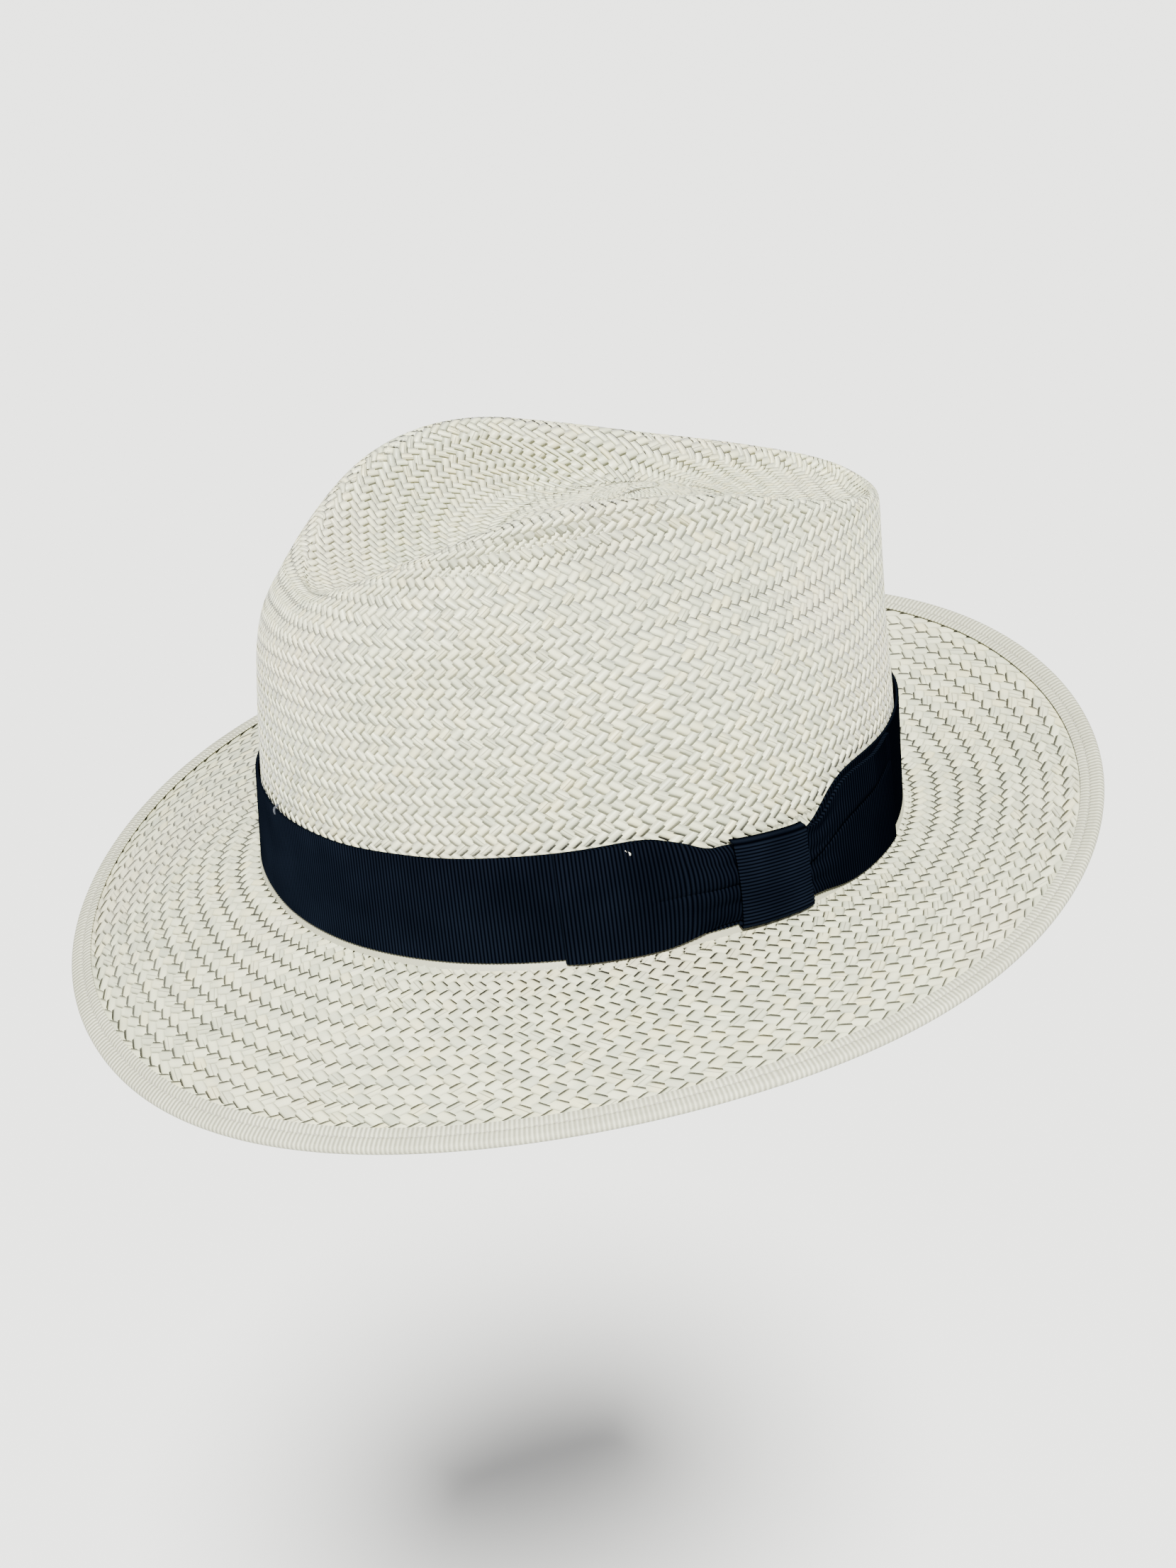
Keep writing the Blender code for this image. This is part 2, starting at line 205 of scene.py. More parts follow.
def times(tree, first, second):
    return calc(tree, 'MULTIPLY', first, second)


def plus(tree, first, second):
    return calc(tree, 'ADD', first, second)


def minus(tree, first, second):
    return calc(tree, 'SUBTRACT', first, second)


def over(tree, first, second):
    return calc(tree, 'DIVIDE', first, second)


def vecCalc(tree, operation, *values):
    made = tree.nodes.new('ShaderNodeVectorMath')
    made.operation = operation
    for i, value in enumerate(values):
        socket = made.inputs['Scale'] if operation == 'SCALE' and i == 1 else made.inputs[i]
        if isinstance(value, bpy.types.NodeSocket):
            tree.links.new(value, socket)
        else:
            socket.default_value = value
    return made.outputs[0]


# runs a geometry tree on an empty mesh and returns the result as a plain mesh object
def runTree(tree, name, values):
    holder = bpy.data.objects.new(name + "Holder", bpy.data.meshes.new(name + "Holder"))
    bpy.context.scene.collection.objects.link(holder)
    modifier = holder.modifiers.new("nodes", 'NODES')
    modifier.node_group = tree
    for item in tree.interface.items_tree:
        if item.in_out == 'INPUT' and item.name in values:
            modifier[item.identifier] = values[item.name]
    bpy.context.view_layer.update()
    evaluated = holder.evaluated_get(bpy.context.evaluated_depsgraph_get())
    mesh = bpy.data.meshes.new_from_object(evaluated)
    mesh.name = name
    piece = bpy.data.objects.new(name, mesh)
    bpy.context.scene.collection.objects.link(piece)
    holder.modifiers.remove(modifier)
    bpy.data.objects.remove(holder)
    return piece


# position and outward direction of a guide sheet at (u, v)
def sampleSheet(tree, sheet, u, v):
    info = place(tree, 'GeometryNodeObjectInfo', {'Object': sheet}).outputs['Geometry']
    lay = place(tree, 'GeometryNodeInputNamedAttribute', {'Name': "lay"}, data_type='FLOAT_VECTOR').outputs[0]
    out = place(tree, 'GeometryNodeInputNamedAttribute', {'Name': "outward"},
                data_type='FLOAT_VECTOR').outputs[0]
    at = place(tree, 'ShaderNodeCombineXYZ', {0: u, 1: v}).outputs[0]
    results = []
    for value in (tree.nodes.new('GeometryNodeInputPosition').outputs[0], out):
        sample = place(tree, 'GeometryNodeSampleUVSurface', data_type='FLOAT_VECTOR')
        tree.links.new(info, sample.inputs[0])
        tree.links.new(value, sample.inputs[1])
        tree.links.new(lay, sample.inputs[2])
        tree.links.new(at, sample.inputs[3])
        results.append(sample)
    return results[0].outputs[0], results[1].outputs[0], results[0].outputs[1]


# camera, light and floor
view = {
    "aim": (0.0120, -0.0027, 0.0193), "distance": 1.2213,
    "azimuth": 66.92, "elevation": 30.87, "roll": -2.27, "lens": 91.23,
}
azimuth, elevation = math.radians(view["azimuth"]), math.radians(view["elevation"])
towards = Vector((math.sin(azimuth) * math.cos(elevation), -math.cos(azimuth) * math.cos(elevation),
                  math.sin(elevation)))
rightward = Vector((math.cos(azimuth), math.sin(azimuth), 0))
camera = bpy.data.objects.new("camera", bpy.data.cameras.new("camera"))
camera.data.lens, camera.data.sensor_width, camera.data.sensor_fit = view["lens"], 36, 'AUTO'
camera.data.clip_start, camera.data.clip_end = 0.05, 20
camera.matrix_world = (Matrix.Translation(Vector(view["aim"]) + towards * view["distance"])
                       @ Matrix((rightward, towards.cross(rightward), towards)).transposed().to_4x4()
                       @ Matrix.Rotation(math.radians(view["roll"]), 4, 'Z'))
bpy.context.scene.collection.objects.link(camera)
bpy.context.scene.camera = camera

studio = {
    "sky": (1.0, 1.0, 1.0), "skyStrength": 0.60,
    "floorDepth": 1.0, "floorSize": 30.0, "floorColour": (0.66, 0.66, 0.655),
}
lights = {
    "keyLight": {"kind": 'SUN', "place": (1.20, -0.44, 1.50), "aim": (0, 0, 0.05), "angle": 0.16,
                 "strength": 17.5, "colour": (1.0, 1.0, 0.955)},
    "topLight": {"kind": 'AREA', "place": (-0.9, 0.3, 1.7), "aim": (0, 0, 0.05), "size": 0.9,
                 "strength": 5.0, "colour": (0.98, 0.99, 1.0)},
}
for name, look in lights.items():
    lamp = bpy.data.lights.new(name, look["kind"])
    if look["kind"] == 'SUN':
        lamp.angle = look["angle"]
    else:
        lamp.shape, lamp.size = 'DISK', look["size"]
    lamp.energy, lamp.color = look["strength"], look["colour"]
    light = bpy.data.objects.new(name, lamp)
    light.location = look["place"]
    light.rotation_euler = (Vector(look["aim"]) - Vector(look["place"])).to_track_quat('-Z', 'Y').to_euler()
    bpy.context.scene.collection.objects.link(light)
world = bpy.data.worlds.new("studio")
bpy.context.scene.world = world
world.use_nodes = True
world.node_tree.nodes["Background"].inputs["Color"].default_value = (*studio["sky"], 1)
world.node_tree.nodes["Background"].inputs["Strength"].default_value = studio["skyStrength"]

floorMesh = bpy.data.meshes.new("floor")
reach, level = studio["floorSize"] / 2, cadLow.z - studio["floorDepth"]
floorMesh.from_pydata([(-reach, -reach, level), (reach, -reach, level), (reach, reach, level),
                       (-reach, reach, level)], [], [(0, 1, 2, 3)])
floor = bpy.data.objects.new("floor", floorMesh)
bpy.context.scene.collection.objects.link(floor)
floorPaint = bpy.data.materials.new("paleFloor")
floorPaint.use_nodes = True
floorPaint.node_tree.nodes["Principled BSDF"].inputs["Base Color"].default_value = (*studio["floorColour"], 1)
floorPaint.node_tree.nodes["Principled BSDF"].inputs["Roughness"].default_value = 0.9
floorMesh.materials.append(floorPaint)
floor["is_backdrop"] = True
print("camera, lights and floor set")

# shared shader groups


def shaderGroup(name, inputs, outputs):
    sockets = [(label, 'NodeSocketColor' if isinstance(value, tuple) else 'NodeSocketFloat', 'INPUT', value)
               for label, value in inputs.items()]
    sockets += [(label, kind, 'OUTPUT', None) for label, kind in outputs.items()]
    return newTree(name, sockets, 'ShaderNodeTree')


def attribute(tree, name):
    made = tree.nodes.new('ShaderNodeAttribute')
    made.attribute_name = name
    return made


def blendColour(tree, factor, first, second):
    made = tree.nodes.new('ShaderNodeMix')
    made.data_type = 'RGBA'
    for socket, value in ((made.inputs[0], factor), (made.inputs[6], first), (made.inputs[7], second)):
        if isinstance(value, bpy.types.NodeSocket):
            tree.links.new(value, socket)
        else:
            socket.default_value = value
    return made.outputs[2]


def spread(tree, value, fromLow, fromHigh, toLow=0.0, toHigh=1.0):
    return place(tree, 'ShaderNodeMapRange',
                 {0: value, 1: fromLow, 2: fromHigh, 3: toLow, 4: toHigh}).outputs[0]


def noise(tree, at, scale, detail=3.0, rough=0.5):
    return place(tree, 'ShaderNodeTexNoise',
                 {'Vector': at, 'Scale': scale, 'Detail': detail, 'Roughness': rough}).outputs[0]


# fine lengthwise fibres of a split strand of palm straw, on coordinates that run across and along it
fibreGroup, groupIn, groupOut = shaderGroup("strandFibre", {"Fineness": 1.0, "Split": 0.5},
                                            {"Fibre": 'NodeSocketFloat', "Cleft": 'NodeSocketFloat'})
strandCoords = attribute(fibreGroup, "strand").outputs['Vector']
parts = place(fibreGroup, 'ShaderNodeSeparateXYZ', {0: strandCoords}).outputs
fineAcross = times(fibreGroup, times(fibreGroup, parts[0], 11.0), groupIn.outputs["Fineness"])
fibreAt = place(fibreGroup, 'ShaderNodeCombineXYZ',
                {0: fineAcross, 1: times(fibreGroup, parts[1], 0.35), 2: parts[2]}).outputs[0]
fibreGroup.links.new(noise(fibreGroup, fibreAt, 1.0, 3.0, 0.6), groupOut.inputs["Fibre"])
alongOnly = place(fibreGroup, 'ShaderNodeCombineXYZ',
                  {0: parts[2], 1: times(fibreGroup, parts[1], 0.22)}).outputs[0]
wander = spread(fibreGroup, noise(fibreGroup, alongOnly, 1.0, 1.0), 0.0, 1.0, -0.34, 0.34)
nearCleft = spread(fibreGroup, calc(fibreGroup, 'ABSOLUTE', minus(fibreGroup, parts[0], wander)), 0.012,
                   0.05, 1.0, 0.0)
splitHere = place(fibreGroup, 'ShaderNodeCombineXYZ',
                  {0: plus(fibreGroup, parts[2], 31.7), 1: times(fibreGroup, parts[1], 0.16)}).outputs[0]
whereSplit = spread(fibreGroup,
                    plus(fibreGroup, noise(fibreGroup, splitHere, 1.0, 0.0),
                         times(fibreGroup, groupIn.outputs["Split"], 0.2)), 0.66, 0.70)
fibreGroup.links.new(times(fibreGroup, nearCleft, whereSplit), groupOut.inputs["Cleft"])

# soft marks of handling and bleaching that drift over the whole hat
driftGroup, groupIn, groupOut = shaderGroup("slowDrift", {"Size": 0.03}, {"Drift": 'NodeSocketFloat'})
objectAt = driftGroup.nodes.new('ShaderNodeTexCoord').outputs['Object']
driftGroup.links.new(noise(driftGroup, objectAt, over(driftGroup, 1.0, groupIn.outputs["Size"]), 2.0),
                     groupOut.inputs["Drift"])

# ribs of a grosgrain ribbon on a UV map: one rib for each whole number of the map's first axis
ribGroup, groupIn, groupOut = shaderGroup("grosgrainRib", {"Ribs": 500.0, "Threads": 40.0},
                                          {"Rib": 'NodeSocketFloat', "Thread": 'NodeSocketFloat'})
lay = place(ribGroup, 'ShaderNodeUVMap', uv_map="lay").outputs[0]
layParts = place(ribGroup, 'ShaderNodeSeparateXYZ', {0: lay}).outputs
ribWave = calc(ribGroup, 'SINE',
               times(ribGroup, times(ribGroup, layParts[0], groupIn.outputs["Ribs"]), 2 * math.pi))
ribGroup.links.new(spread(ribGroup, ribWave, -1.0, 1.0), groupOut.inputs["Rib"])
threadWave = calc(ribGroup, 'SINE',
                  times(ribGroup, times(ribGroup, layParts[1], groupIn.outputs["Threads"]), 2 * math.pi))
threadMix = times(ribGroup, threadWave,
                  calc(ribGroup, 'SINE', times(ribGroup,
                                               times(ribGroup, layParts[0], groupIn.outputs["Ribs"]),
                                               math.pi)))
ribGroup.links.new(spread(ribGroup, threadMix, -1.0, 1.0), groupOut.inputs["Thread"])


def useGroup(tree, group, **values):
    made = tree.nodes.new('ShaderNodeGroup')
    made.node_tree = group
    for key, value in values.items():
        made.inputs[key].default_value = value
    return made.outputs


def newMaterial(name, **values):
    made = bpy.data.materials.new(name)
    made.use_nodes = True
    shader = made.node_tree.nodes["Principled BSDF"]
    for key, value in values.items():
        shader.inputs[key.replace("_", " ")].default_value = value
    return made, made.node_tree, shader


def bumpInto(tree, shader, height, distance, strength=1.0, normal=None):
    bump = place(tree, 'ShaderNodeBump', {'Height': height, 'Distance': distance, 'Strength': strength})
    if normal is not None:
        tree.links.new(normal, bump.inputs['Normal'])
    tree.links.new(bump.outputs[0], shader.inputs['Normal'])


# paintedShade is the dark colour of the shade painted where strands dive under others and in their splits
strawFinish = {
    "pale": (0.54, 0.547, 0.385, 1), "cream": (0.53, 0.505, 0.31, 1), "grey": (0.35, 0.367, 0.27, 1),
    "pink": (0.56, 0.485, 0.37, 1), "paintedShade": (0.13, 0.12, 0.08, 1),
    "roughness": 0.40, "sheen": 0.15,
}


def strawMaterial(name, finish, rounded):
    made, tree, shader = newMaterial(name, Specular_IOR_Level=0.42, Sheen_Weight=finish["sheen"],
                                     Sheen_Roughness=0.4)
    fibre = useGroup(tree, fibreGroup, Fineness=1.0, Split=0.5)
    drift = useGroup(tree, driftGroup, Size=0.055)["Drift"]
    tone = attribute(tree, "tone").outputs['Fac']
    under = attribute(tree, "under").outputs['Fac']
    colour = blendColour(tree, spread(tree, tone, 0.55, 1.0), finish["pale"], finish["cream"])
    colour = blendColour(tree, spread(tree, tone, 0.28, 0.0, 0.0, 0.75), colour, finish["grey"])
    strandParts = place(tree, 'ShaderNodeSeparateXYZ',
                        {0: attribute(tree, "strand").outputs['Vector']}).outputs
    brickAt = place(tree, 'ShaderNodeCombineXYZ',
                    {0: times(tree, strandParts[1], 0.62), 1: strandParts[2]}).outputs[0]
    colour = blendColour(tree, spread(tree, noise(tree, brickAt, 1.0, 1.0), 0.56, 0.34, 0.0, 0.8), colour,
                         finish["grey"])
    colour = blendColour(tree, spread(tree, drift, 0.52, 0.72, 0.0, 0.35), colour, finish["pink"])
    colour = blendColour(tree, spread(tree, fibre["Fibre"], 0.35, 0.75, 0.0, 0.22), colour, finish["cream"])
    # painted shade in the splits of the strands
    colour = blendColour(tree, times(tree, fibre["Cleft"], 0.55), colour, finish["paintedShade"])
    # painted shade: strands darken where they dive under the crossing ones
    colour = blendColour(tree, spread(tree, under, 0.35, 1.0, 0.0, 0.55), colour, finish["paintedShade"])
    tree.links.new(colour, shader.inputs['Base Color'])
    tree.links.new(spread(tree, fibre["Fibre"], 0.2, 0.8, finish["roughness"] - 0.07,
                          finish["roughness"] + 0.12), shader.inputs['Roughness'])
    height = minus(tree, times(tree, fibre["Fibre"], 0.30), times(tree, fibre["Cleft"], 0.9))
    # rounded 1 shades a strand as a round reed, 0 as a flat one
    surface = tree.nodes.new('ShaderNodeNewGeometry').outputs
    flatPart = vecCalc(tree, 'SCALE', surface['True Normal'], 1.0 - rounded)
    mixed = vecCalc(tree, 'ADD', flatPart, vecCalc(tree, 'SCALE', surface['Normal'], rounded))
    bumpInto(tree, shader, height, 0.00022, 0.8, mixed)
    return made


crownStraw = strawMaterial("bleachedStraw", strawFinish, 1.0)
brimStraw = strawMaterial("flatStraw", strawFinish, 0.17)


def ribbonMaterial(name, colour, highlight, ribs, threads, roughness, ribDepth, specular=0.35):
    made, tree, shader = newMaterial(name, Specular_IOR_Level=specular)
    rib = useGroup(tree, ribGroup, Ribs=ribs, Threads=threads)
    drift = useGroup(tree, driftGroup, Size=0.02)["Drift"]
    amount = times(tree, rib["Rib"], spread(tree, drift, 0.3, 0.7, 0.6, 1.0))
    tree.links.new(blendColour(tree, amount, colour, highlight), shader.inputs['Base Color'])
    tree.links.new(spread(tree, rib["Thread"], 0.0, 1.0, roughness + 0.08, roughness - 0.06),
                   shader.inputs['Roughness'])
    height = plus(tree, times(tree, rib["Rib"], 1.0), times(tree, rib["Thread"], 0.25))
    bumpInto(tree, shader, height, ribDepth, 1.0)
    return made


def threadMaterial(name, colour, roughness):
    made, tree, shader = newMaterial(name, Base_Color=colour, Sheen_Weight=0.2)
    at = tree.nodes.new('ShaderNodeTexCoord').outputs['Object']
    grain = noise(tree, at, 2600.0, 2.0)
    tree.links.new(spread(tree, grain, 0.3, 0.7, roughness - 0.1, roughness + 0.1),
                   shader.inputs['Roughness'])
    bumpInto(tree, shader, grain, 0.0001, 0.6)
    return made


whiteThread = threadMaterial("whiteThread", (0.62, 0.60, 0.52, 1), 0.6)
# the binding's stitches are grey, not off-white: painted shade of the groove they are sunk in
tapeThread = threadMaterial("tapeThread", (0.27, 0.26, 0.21, 1), 0.6)
navyThread = threadMaterial("navyThread", (0.012, 0.016, 0.028, 1), 0.6)
print("shader groups and materials ready")

# woven straw: two families of real strands, over two and under two
weaveTree, groupIn, groupOut = newTree("wovenStrands", [
    ("Sheet", 'NodeSocketObject', 'INPUT', None), ("Strands", 'NodeSocketInt', 'INPUT', 160),
    ("Rows", 'NodeSocketFloat', 'INPUT', 40.0), ("First Row", 'NodeSocketFloat', 'INPUT', 0.0),
    ("Last Row", 'NodeSocketFloat', 'INPUT', 40.0), ("Steps", 'NodeSocketInt', 'INPUT', 150),
    ("Lean", 'NodeSocketFloat', 'INPUT', 1.0), ("Width", 'NodeSocketFloat', 'INPUT', 0.95),
    ("Wave", 'NodeSocketFloat', 'INPUT', 0.00026), ("Crown", 'NodeSocketFloat', 'INPUT', 0.00012),
    ("Depth", 'NodeSocketFloat', 'INPUT', -0.0006),
    ("Shade", 'NodeSocketFloat', 'INPUT', 1.0), ("Seed", 'NodeSocketInt', 'INPUT', 1),
    ("Material", 'NodeSocketMaterial', 'INPUT', None), ("Geometry", 'NodeSocketGeometry', 'OUTPUT', None)])
g, t = groupIn.outputs, weaveTree
strip = place(t, 'GeometryNodeMeshCylinder',
              {'Vertices': 4, 'Side Segments': g["Steps"], 'Radius': 1.0, 'Depth': 1.0}, fill_type='NONE')
indexNode = t.nodes.new('GeometryNodeInputIndex').outputs[0]
points = place(t, 'GeometryNodePoints', {'Count': g["Strands"]}).outputs[0]
placed = place(t, 'GeometryNodeInstanceOnPoints',
               {'Points': points, 'Instance': strip.outputs['Mesh']}).outputs[0]
named = place(t, 'GeometryNodeStoreNamedAttribute', {'Geometry': placed, 'Name': "number"},
              data_type='FLOAT', domain='INSTANCE')
t.links.new(indexNode, named.inputs['Value'])
randomNode = place(t, 'FunctionNodeRandomValue', {'Seed': g["Seed"]}, data_type='FLOAT').outputs[1]
toned = place(t, 'GeometryNodeStoreNamedAttribute', {'Geometry': named.outputs[0], 'Name': "tone"},
              data_type='FLOAT', domain='INSTANCE')
t.links.new(randomNode, toned.inputs['Value'])
real = place(t, 'GeometryNodeRealizeInstances', {0: toned.outputs[0]}).outputs[0]
number = place(t, 'GeometryNodeInputNamedAttribute', {'Name': "number"}, data_type='FLOAT').outputs[0]
tone = place(t, 'GeometryNodeInputNamedAttribute', {'Name': "tone"}, data_type='FLOAT').outputs[0]
shape = place(t, 'ShaderNodeSeparateXYZ', {0: t.nodes.new('GeometryNodeInputPosition').outputs[0]}).outputs
along = plus(t, times(t, plus(t, shape[2], 0.5), minus(t, g["Last Row"], g["First Row"])), g["First Row"])
wanderAt = place(t, 'ShaderNodeCombineXYZ',
                 {0: times(t, along, 0.45), 1: times(t, number, 7.31),
                  2: times(t, g["Seed"], 3.7)}).outputs[0]
wanderNoise = place(t, 'ShaderNodeTexNoise', {'Vector': wanderAt, 'Scale': 1.0, 'Detail': 1.0}).outputs[0]
sideways = times(t, minus(t, wanderNoise, 0.5), 0.30)
widthAt = place(t, 'ShaderNodeCombineXYZ',
                {0: times(t, along, 0.6), 1: times(t, number, 5.17), 2: times(t, g["Seed"], 11.3)}).outputs[0]
widthNoise = place(t, 'ShaderNodeTexNoise', {'Vector': widthAt, 'Scale': 1.0, 'Detail': 1.0}).outputs[0]
width = times(t, g["Width"], plus(t, 0.78, times(t, widthNoise, 0.40)))
# half the across offset, shared between the two axes
acrossHalf = times(t, times(t, shape[0], width), 0.25)
offset = plus(t, acrossHalf, times(t, sideways, 0.5))
sAxis = plus(t, plus(t, number, times(t, g["Lean"], along)), offset)
tAxis = minus(t, along, times(t, g["Lean"], offset))
uAxis = calc(t, 'FRACT', plus(t, over(t, sAxis, g["Strands"]), 4.0))
vAxis = over(t, tAxis, g["Rows"])
position, outward, valid = sampleSheet(t, g["Sheet"], uAxis, vAxis)
# phase runs with the crossing family, so a strand dives along the edges of the ones it passes under
phase = plus(t, minus(t, times(t, tAxis, 2.0), times(t, g["Lean"], times(t, offset, -2.0))),
             plus(t, 0.5, minus(t, 1.0, g["Lean"])))
lift = calc(t, 'COSINE', times(t, phase, math.pi / 2))
flat = calc(t, 'MAXIMUM', calc(t, 'MINIMUM', times(t, lift, 2.4), 1.0), -1.0)
crownPart = times(t, shape[1], g["Crown"])
height = plus(t, plus(t, times(t, flat, g["Wave"]), crownPart), g["Depth"])
moved = vecCalc(t, 'ADD', position, vecCalc(t, 'SCALE', outward, height))
strandAt = place(t, 'ShaderNodeCombineXYZ',
                 {0: times(t, shape[0], 0.5), 1: along, 2: times(t, number, 3.37)}).outputs[0]
store1 = place(t, 'GeometryNodeStoreNamedAttribute', {'Geometry': real, 'Name': "strand"},
               data_type='FLOAT_VECTOR', domain='POINT')
t.links.new(strandAt, store1.inputs['Value'])
# under: mask of painted shade, rising up to Shade where a strand dives under the crossing family
store2 = place(t, 'GeometryNodeStoreNamedAttribute', {'Geometry': store1.outputs[0], 'Name': "under"},
               data_type='FLOAT', domain='POINT')
t.links.new(times(t, spread(t, flat, 0.0, -1.0), g["Shade"]), store2.inputs['Value'])
store3 = place(t, 'GeometryNodeStoreNamedAttribute', {'Geometry': store2.outputs[0], 'Name': "outside"},
               data_type='BOOLEAN', domain='POINT')
t.links.new(place(t, 'FunctionNodeBooleanMath', {0: valid}, operation='NOT').outputs[0],
            store3.inputs['Value'])
moved = place(t, 'GeometryNodeSetPosition', {'Geometry': store3.outputs[0], 'Position': moved}).outputs[0]
outside = place(t, 'GeometryNodeInputNamedAttribute', {'Name': "outside"}, data_type='BOOLEAN').outputs[0]
cut = place(t, 'GeometryNodeDeleteGeometry', {'Geometry': moved, 'Selection': outside},
            domain='POINT').outputs[0]
finished = place(t, 'GeometryNodeSetMaterial', {'Geometry': cut, 'Material': g["Material"]}).outputs[0]
t.links.new(finished, groupOut.inputs[0])


def weave(name, sheet, zone, rows, lean, seed):
    piece = runTree(weaveTree, name, {
        "Sheet": sheet, "Strands": zone["strands"], "Rows": float(rows), "First Row": -0.8,
        "Last Row": float(rows) + 0.8, "Steps": int((rows + 1.6) * zone["stepsPerRow"]), "Lean": float(lean),
        "Width": zone["width"], "Wave": zone["wave"], "Crown": zone["crown"], "Depth": zone["depth"],
        "Shade": zone["shade"], "Seed": seed, "Material": zone["straw"]})
    piece.data.shade_smooth()
    return piece


def wovenZone(name, grid, zone):
    lengths = np.concatenate([np.zeros((1, grid.shape[1])),
                              np.cumsum(np.linalg.norm(np.diff(grid, axis=0), axis=-1), 0)])
    units = lengths / zone["row"]
    if zone.get("grow"):
        units = lengths / (zone["row"] * (1 + zone["grow"] * lengths / lengths.max()))
    rows = units.max()
    sheet = guideSheet(name + "Sheet", grid, units / rows)
    made = [weave(name + "Right", sheet, zone, rows, 1, zone["seed"]),
            weave(name + "Left", sheet, zone, rows, -1, zone["seed"] + 5)]
    bpy.data.objects.remove(sheet)
    for piece in made:
        print(name, len(piece.data.vertices), "vertices", len(piece.data.polygons), "faces")
    return made


crownWeave = {"straw": crownStraw, "strands": 160, "row": 0.0030, "stepsPerRow": 3.25, "width": 1.32,
              "wave": 0.00019, "crown": 0.00004,
              "depth": -0.00050, "shade": 0.9, "seed": 3}
tipWeave = {"straw": crownStraw, "strands": 104, "row": 0.0026, "stepsPerRow": 3.6, "width": 1.20,
            "wave": 0.00019, "crown": 0.00007,
            "depth": -0.00085, "shade": 0.75, "seed": 23}
buttonWeave = {"straw": crownStraw, "strands": 30, "row": 0.0018, "stepsPerRow": 4.0, "width": 1.15,
               "wave": 0.00015, "crown": 0.00007,
               "depth": -0.00085, "shade": 0.75, "seed": 41}
brimWeave = {"straw": brimStraw, "strands": 160, "row": 0.0030, "grow": 0.18, "stepsPerRow": 4.0,
             "width": 1.44, "wave": 0.00011,
             "crown": 0.00006, "depth": -0.00050, "shade": 0.0, "seed": 61}

turn = np.radians(np.arange(around + 1) * 360 / around)
crownGrid = throughRings(crownRings(turn), 14)
keyRow = 14   # rows between two rings

# furrow under the front half of the ridge, on both sides, and a slight unevenness everywhere
degrees = np.degrees(np.abs(np.angle(np.exp(1j * turn))))
below = (np.arange(len(crownGrid)) / keyRow)[:, None]
furrow = np.exp(-((below - 6.35) / 0.62) ** 2) * np.exp(-((degrees - 62) / 34) ** 2)[None]
crownNormal = outwardOf(crownGrid)
crownGrid = crownGrid - crownNormal * (furrow * hatShape["pinchDepth"])[..., None]
wobble = (np.sin(5 * turn + 1.3) * np.sin(below * 0.9 + 0.4)
          + 0.7 * np.sin(9 * turn + 2.1) * np.sin(below * 1.7)) * hatShape["handWobble"]
crownGrid = crownGrid + crownNormal * (wobble * np.clip((below - 2.2) / 1.5, 0,
                                                        1) * np.clip((13.2 - below) / 2.0, 0, 1))[..., None]

strawPieces = []
crownPart = crownGrid[int(1.5 * keyRow):int(10.75 * keyRow)]
tipPart = crownGrid[int(10.45 * keyRow):int(12.75 * keyRow)]
buttonPart = crownGrid[int(12.6 * keyRow):int(14.0 * keyRow) - 1]
strawPieces += wovenZone("crownWeave", crownPart, crownWeave)
strawPieces += wovenZone("tipWeave", tipPart, tipWeave)
strawPieces += wovenZone("buttonWeave", buttonPart, buttonWeave)

# the brim's weave starts on the wall behind the band, turns out over the fillet and runs to the edge
wallRows = crownGrid[int(1.6 * keyRow):0:-1]
brimRows = [brimPoint(turn, t) for t in np.linspace(0.0, 0.985, 60)]
turnRow = brimPoint(turn, 0.0)
turnRow[:, :2] = turnRow[:, :2] * 0.30 + crownGrid[0][:, :2] * 0.70
turnRow[:, 2] = 0.0004
brimGrid = np.concatenate([wallRows, crownGrid[:1], turnRow[None], np.array(brimRows)])
strawPieces += wovenZone("brimWeave", brimGrid[::-1].copy(), brimWeave)

for piece in strawPieces:
    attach(piece, "root")
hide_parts("straw_body")
print("straw woven")

# ribbons: a closed strip laid on a sheet, with a rib for every weft cord
ribbonTree, groupIn, groupOut = newTree("ribbedRibbon", [
    ("Sheet", 'NodeSocketObject', 'INPUT', None), ("Columns", 'NodeSocketInt', 'INPUT', 600),
    ("Rows", 'NodeSocketInt', 'INPUT', 8), ("Ribs", 'NodeSocketFloat', 'INPUT', 100.0),
    ("Rib Depth", 'NodeSocketFloat', 'INPUT', 0.0001), ("Thickness", 'NodeSocketFloat', 'INPUT', 0.0008),
    ("Joined", 'NodeSocketFloat', 'INPUT', 1.0), ("Material", 'NodeSocketMaterial', 'INPUT', None),
    ("Geometry", 'NodeSocketGeometry', 'OUTPUT', None)])
g, t = groupIn.outputs, ribbonTree
edgeCount = plus(t, times(t, g["Rows"], 2.0), 2.0)
strip = place(t, 'GeometryNodeMeshGrid',
              {'Size X': 1.0, 'Size Y': 1.0, 'Vertices X': g["Columns"],
               'Vertices Y': plus(t, edgeCount, 1.0)})
shape = place(t, 'ShaderNodeSeparateXYZ', {0: t.nodes.new('GeometryNodeInputPosition').outputs[0]}).outputs
uAxis = plus(t, shape[0], 0.5)
row = times(t, plus(t, shape[1], 0.5), edgeCount)
frontRow = calc(t, 'LESS_THAN', row, plus(t, g["Rows"], 0.5))
closing = calc(t, 'GREATER_THAN', row, minus(t, edgeCount, 0.5))
isFront = calc(t, 'MAXIMUM', frontRow, closing)
rising = times(t, over(t, row, g["Rows"]), frontRow)
falling = times(t, over(t, minus(t, minus(t, edgeCount, 1.0), row), g["Rows"]), minus(t, 1.0, frontRow))
vAxis = calc(t, 'MAXIMUM', plus(t, rising, falling), 0.0)
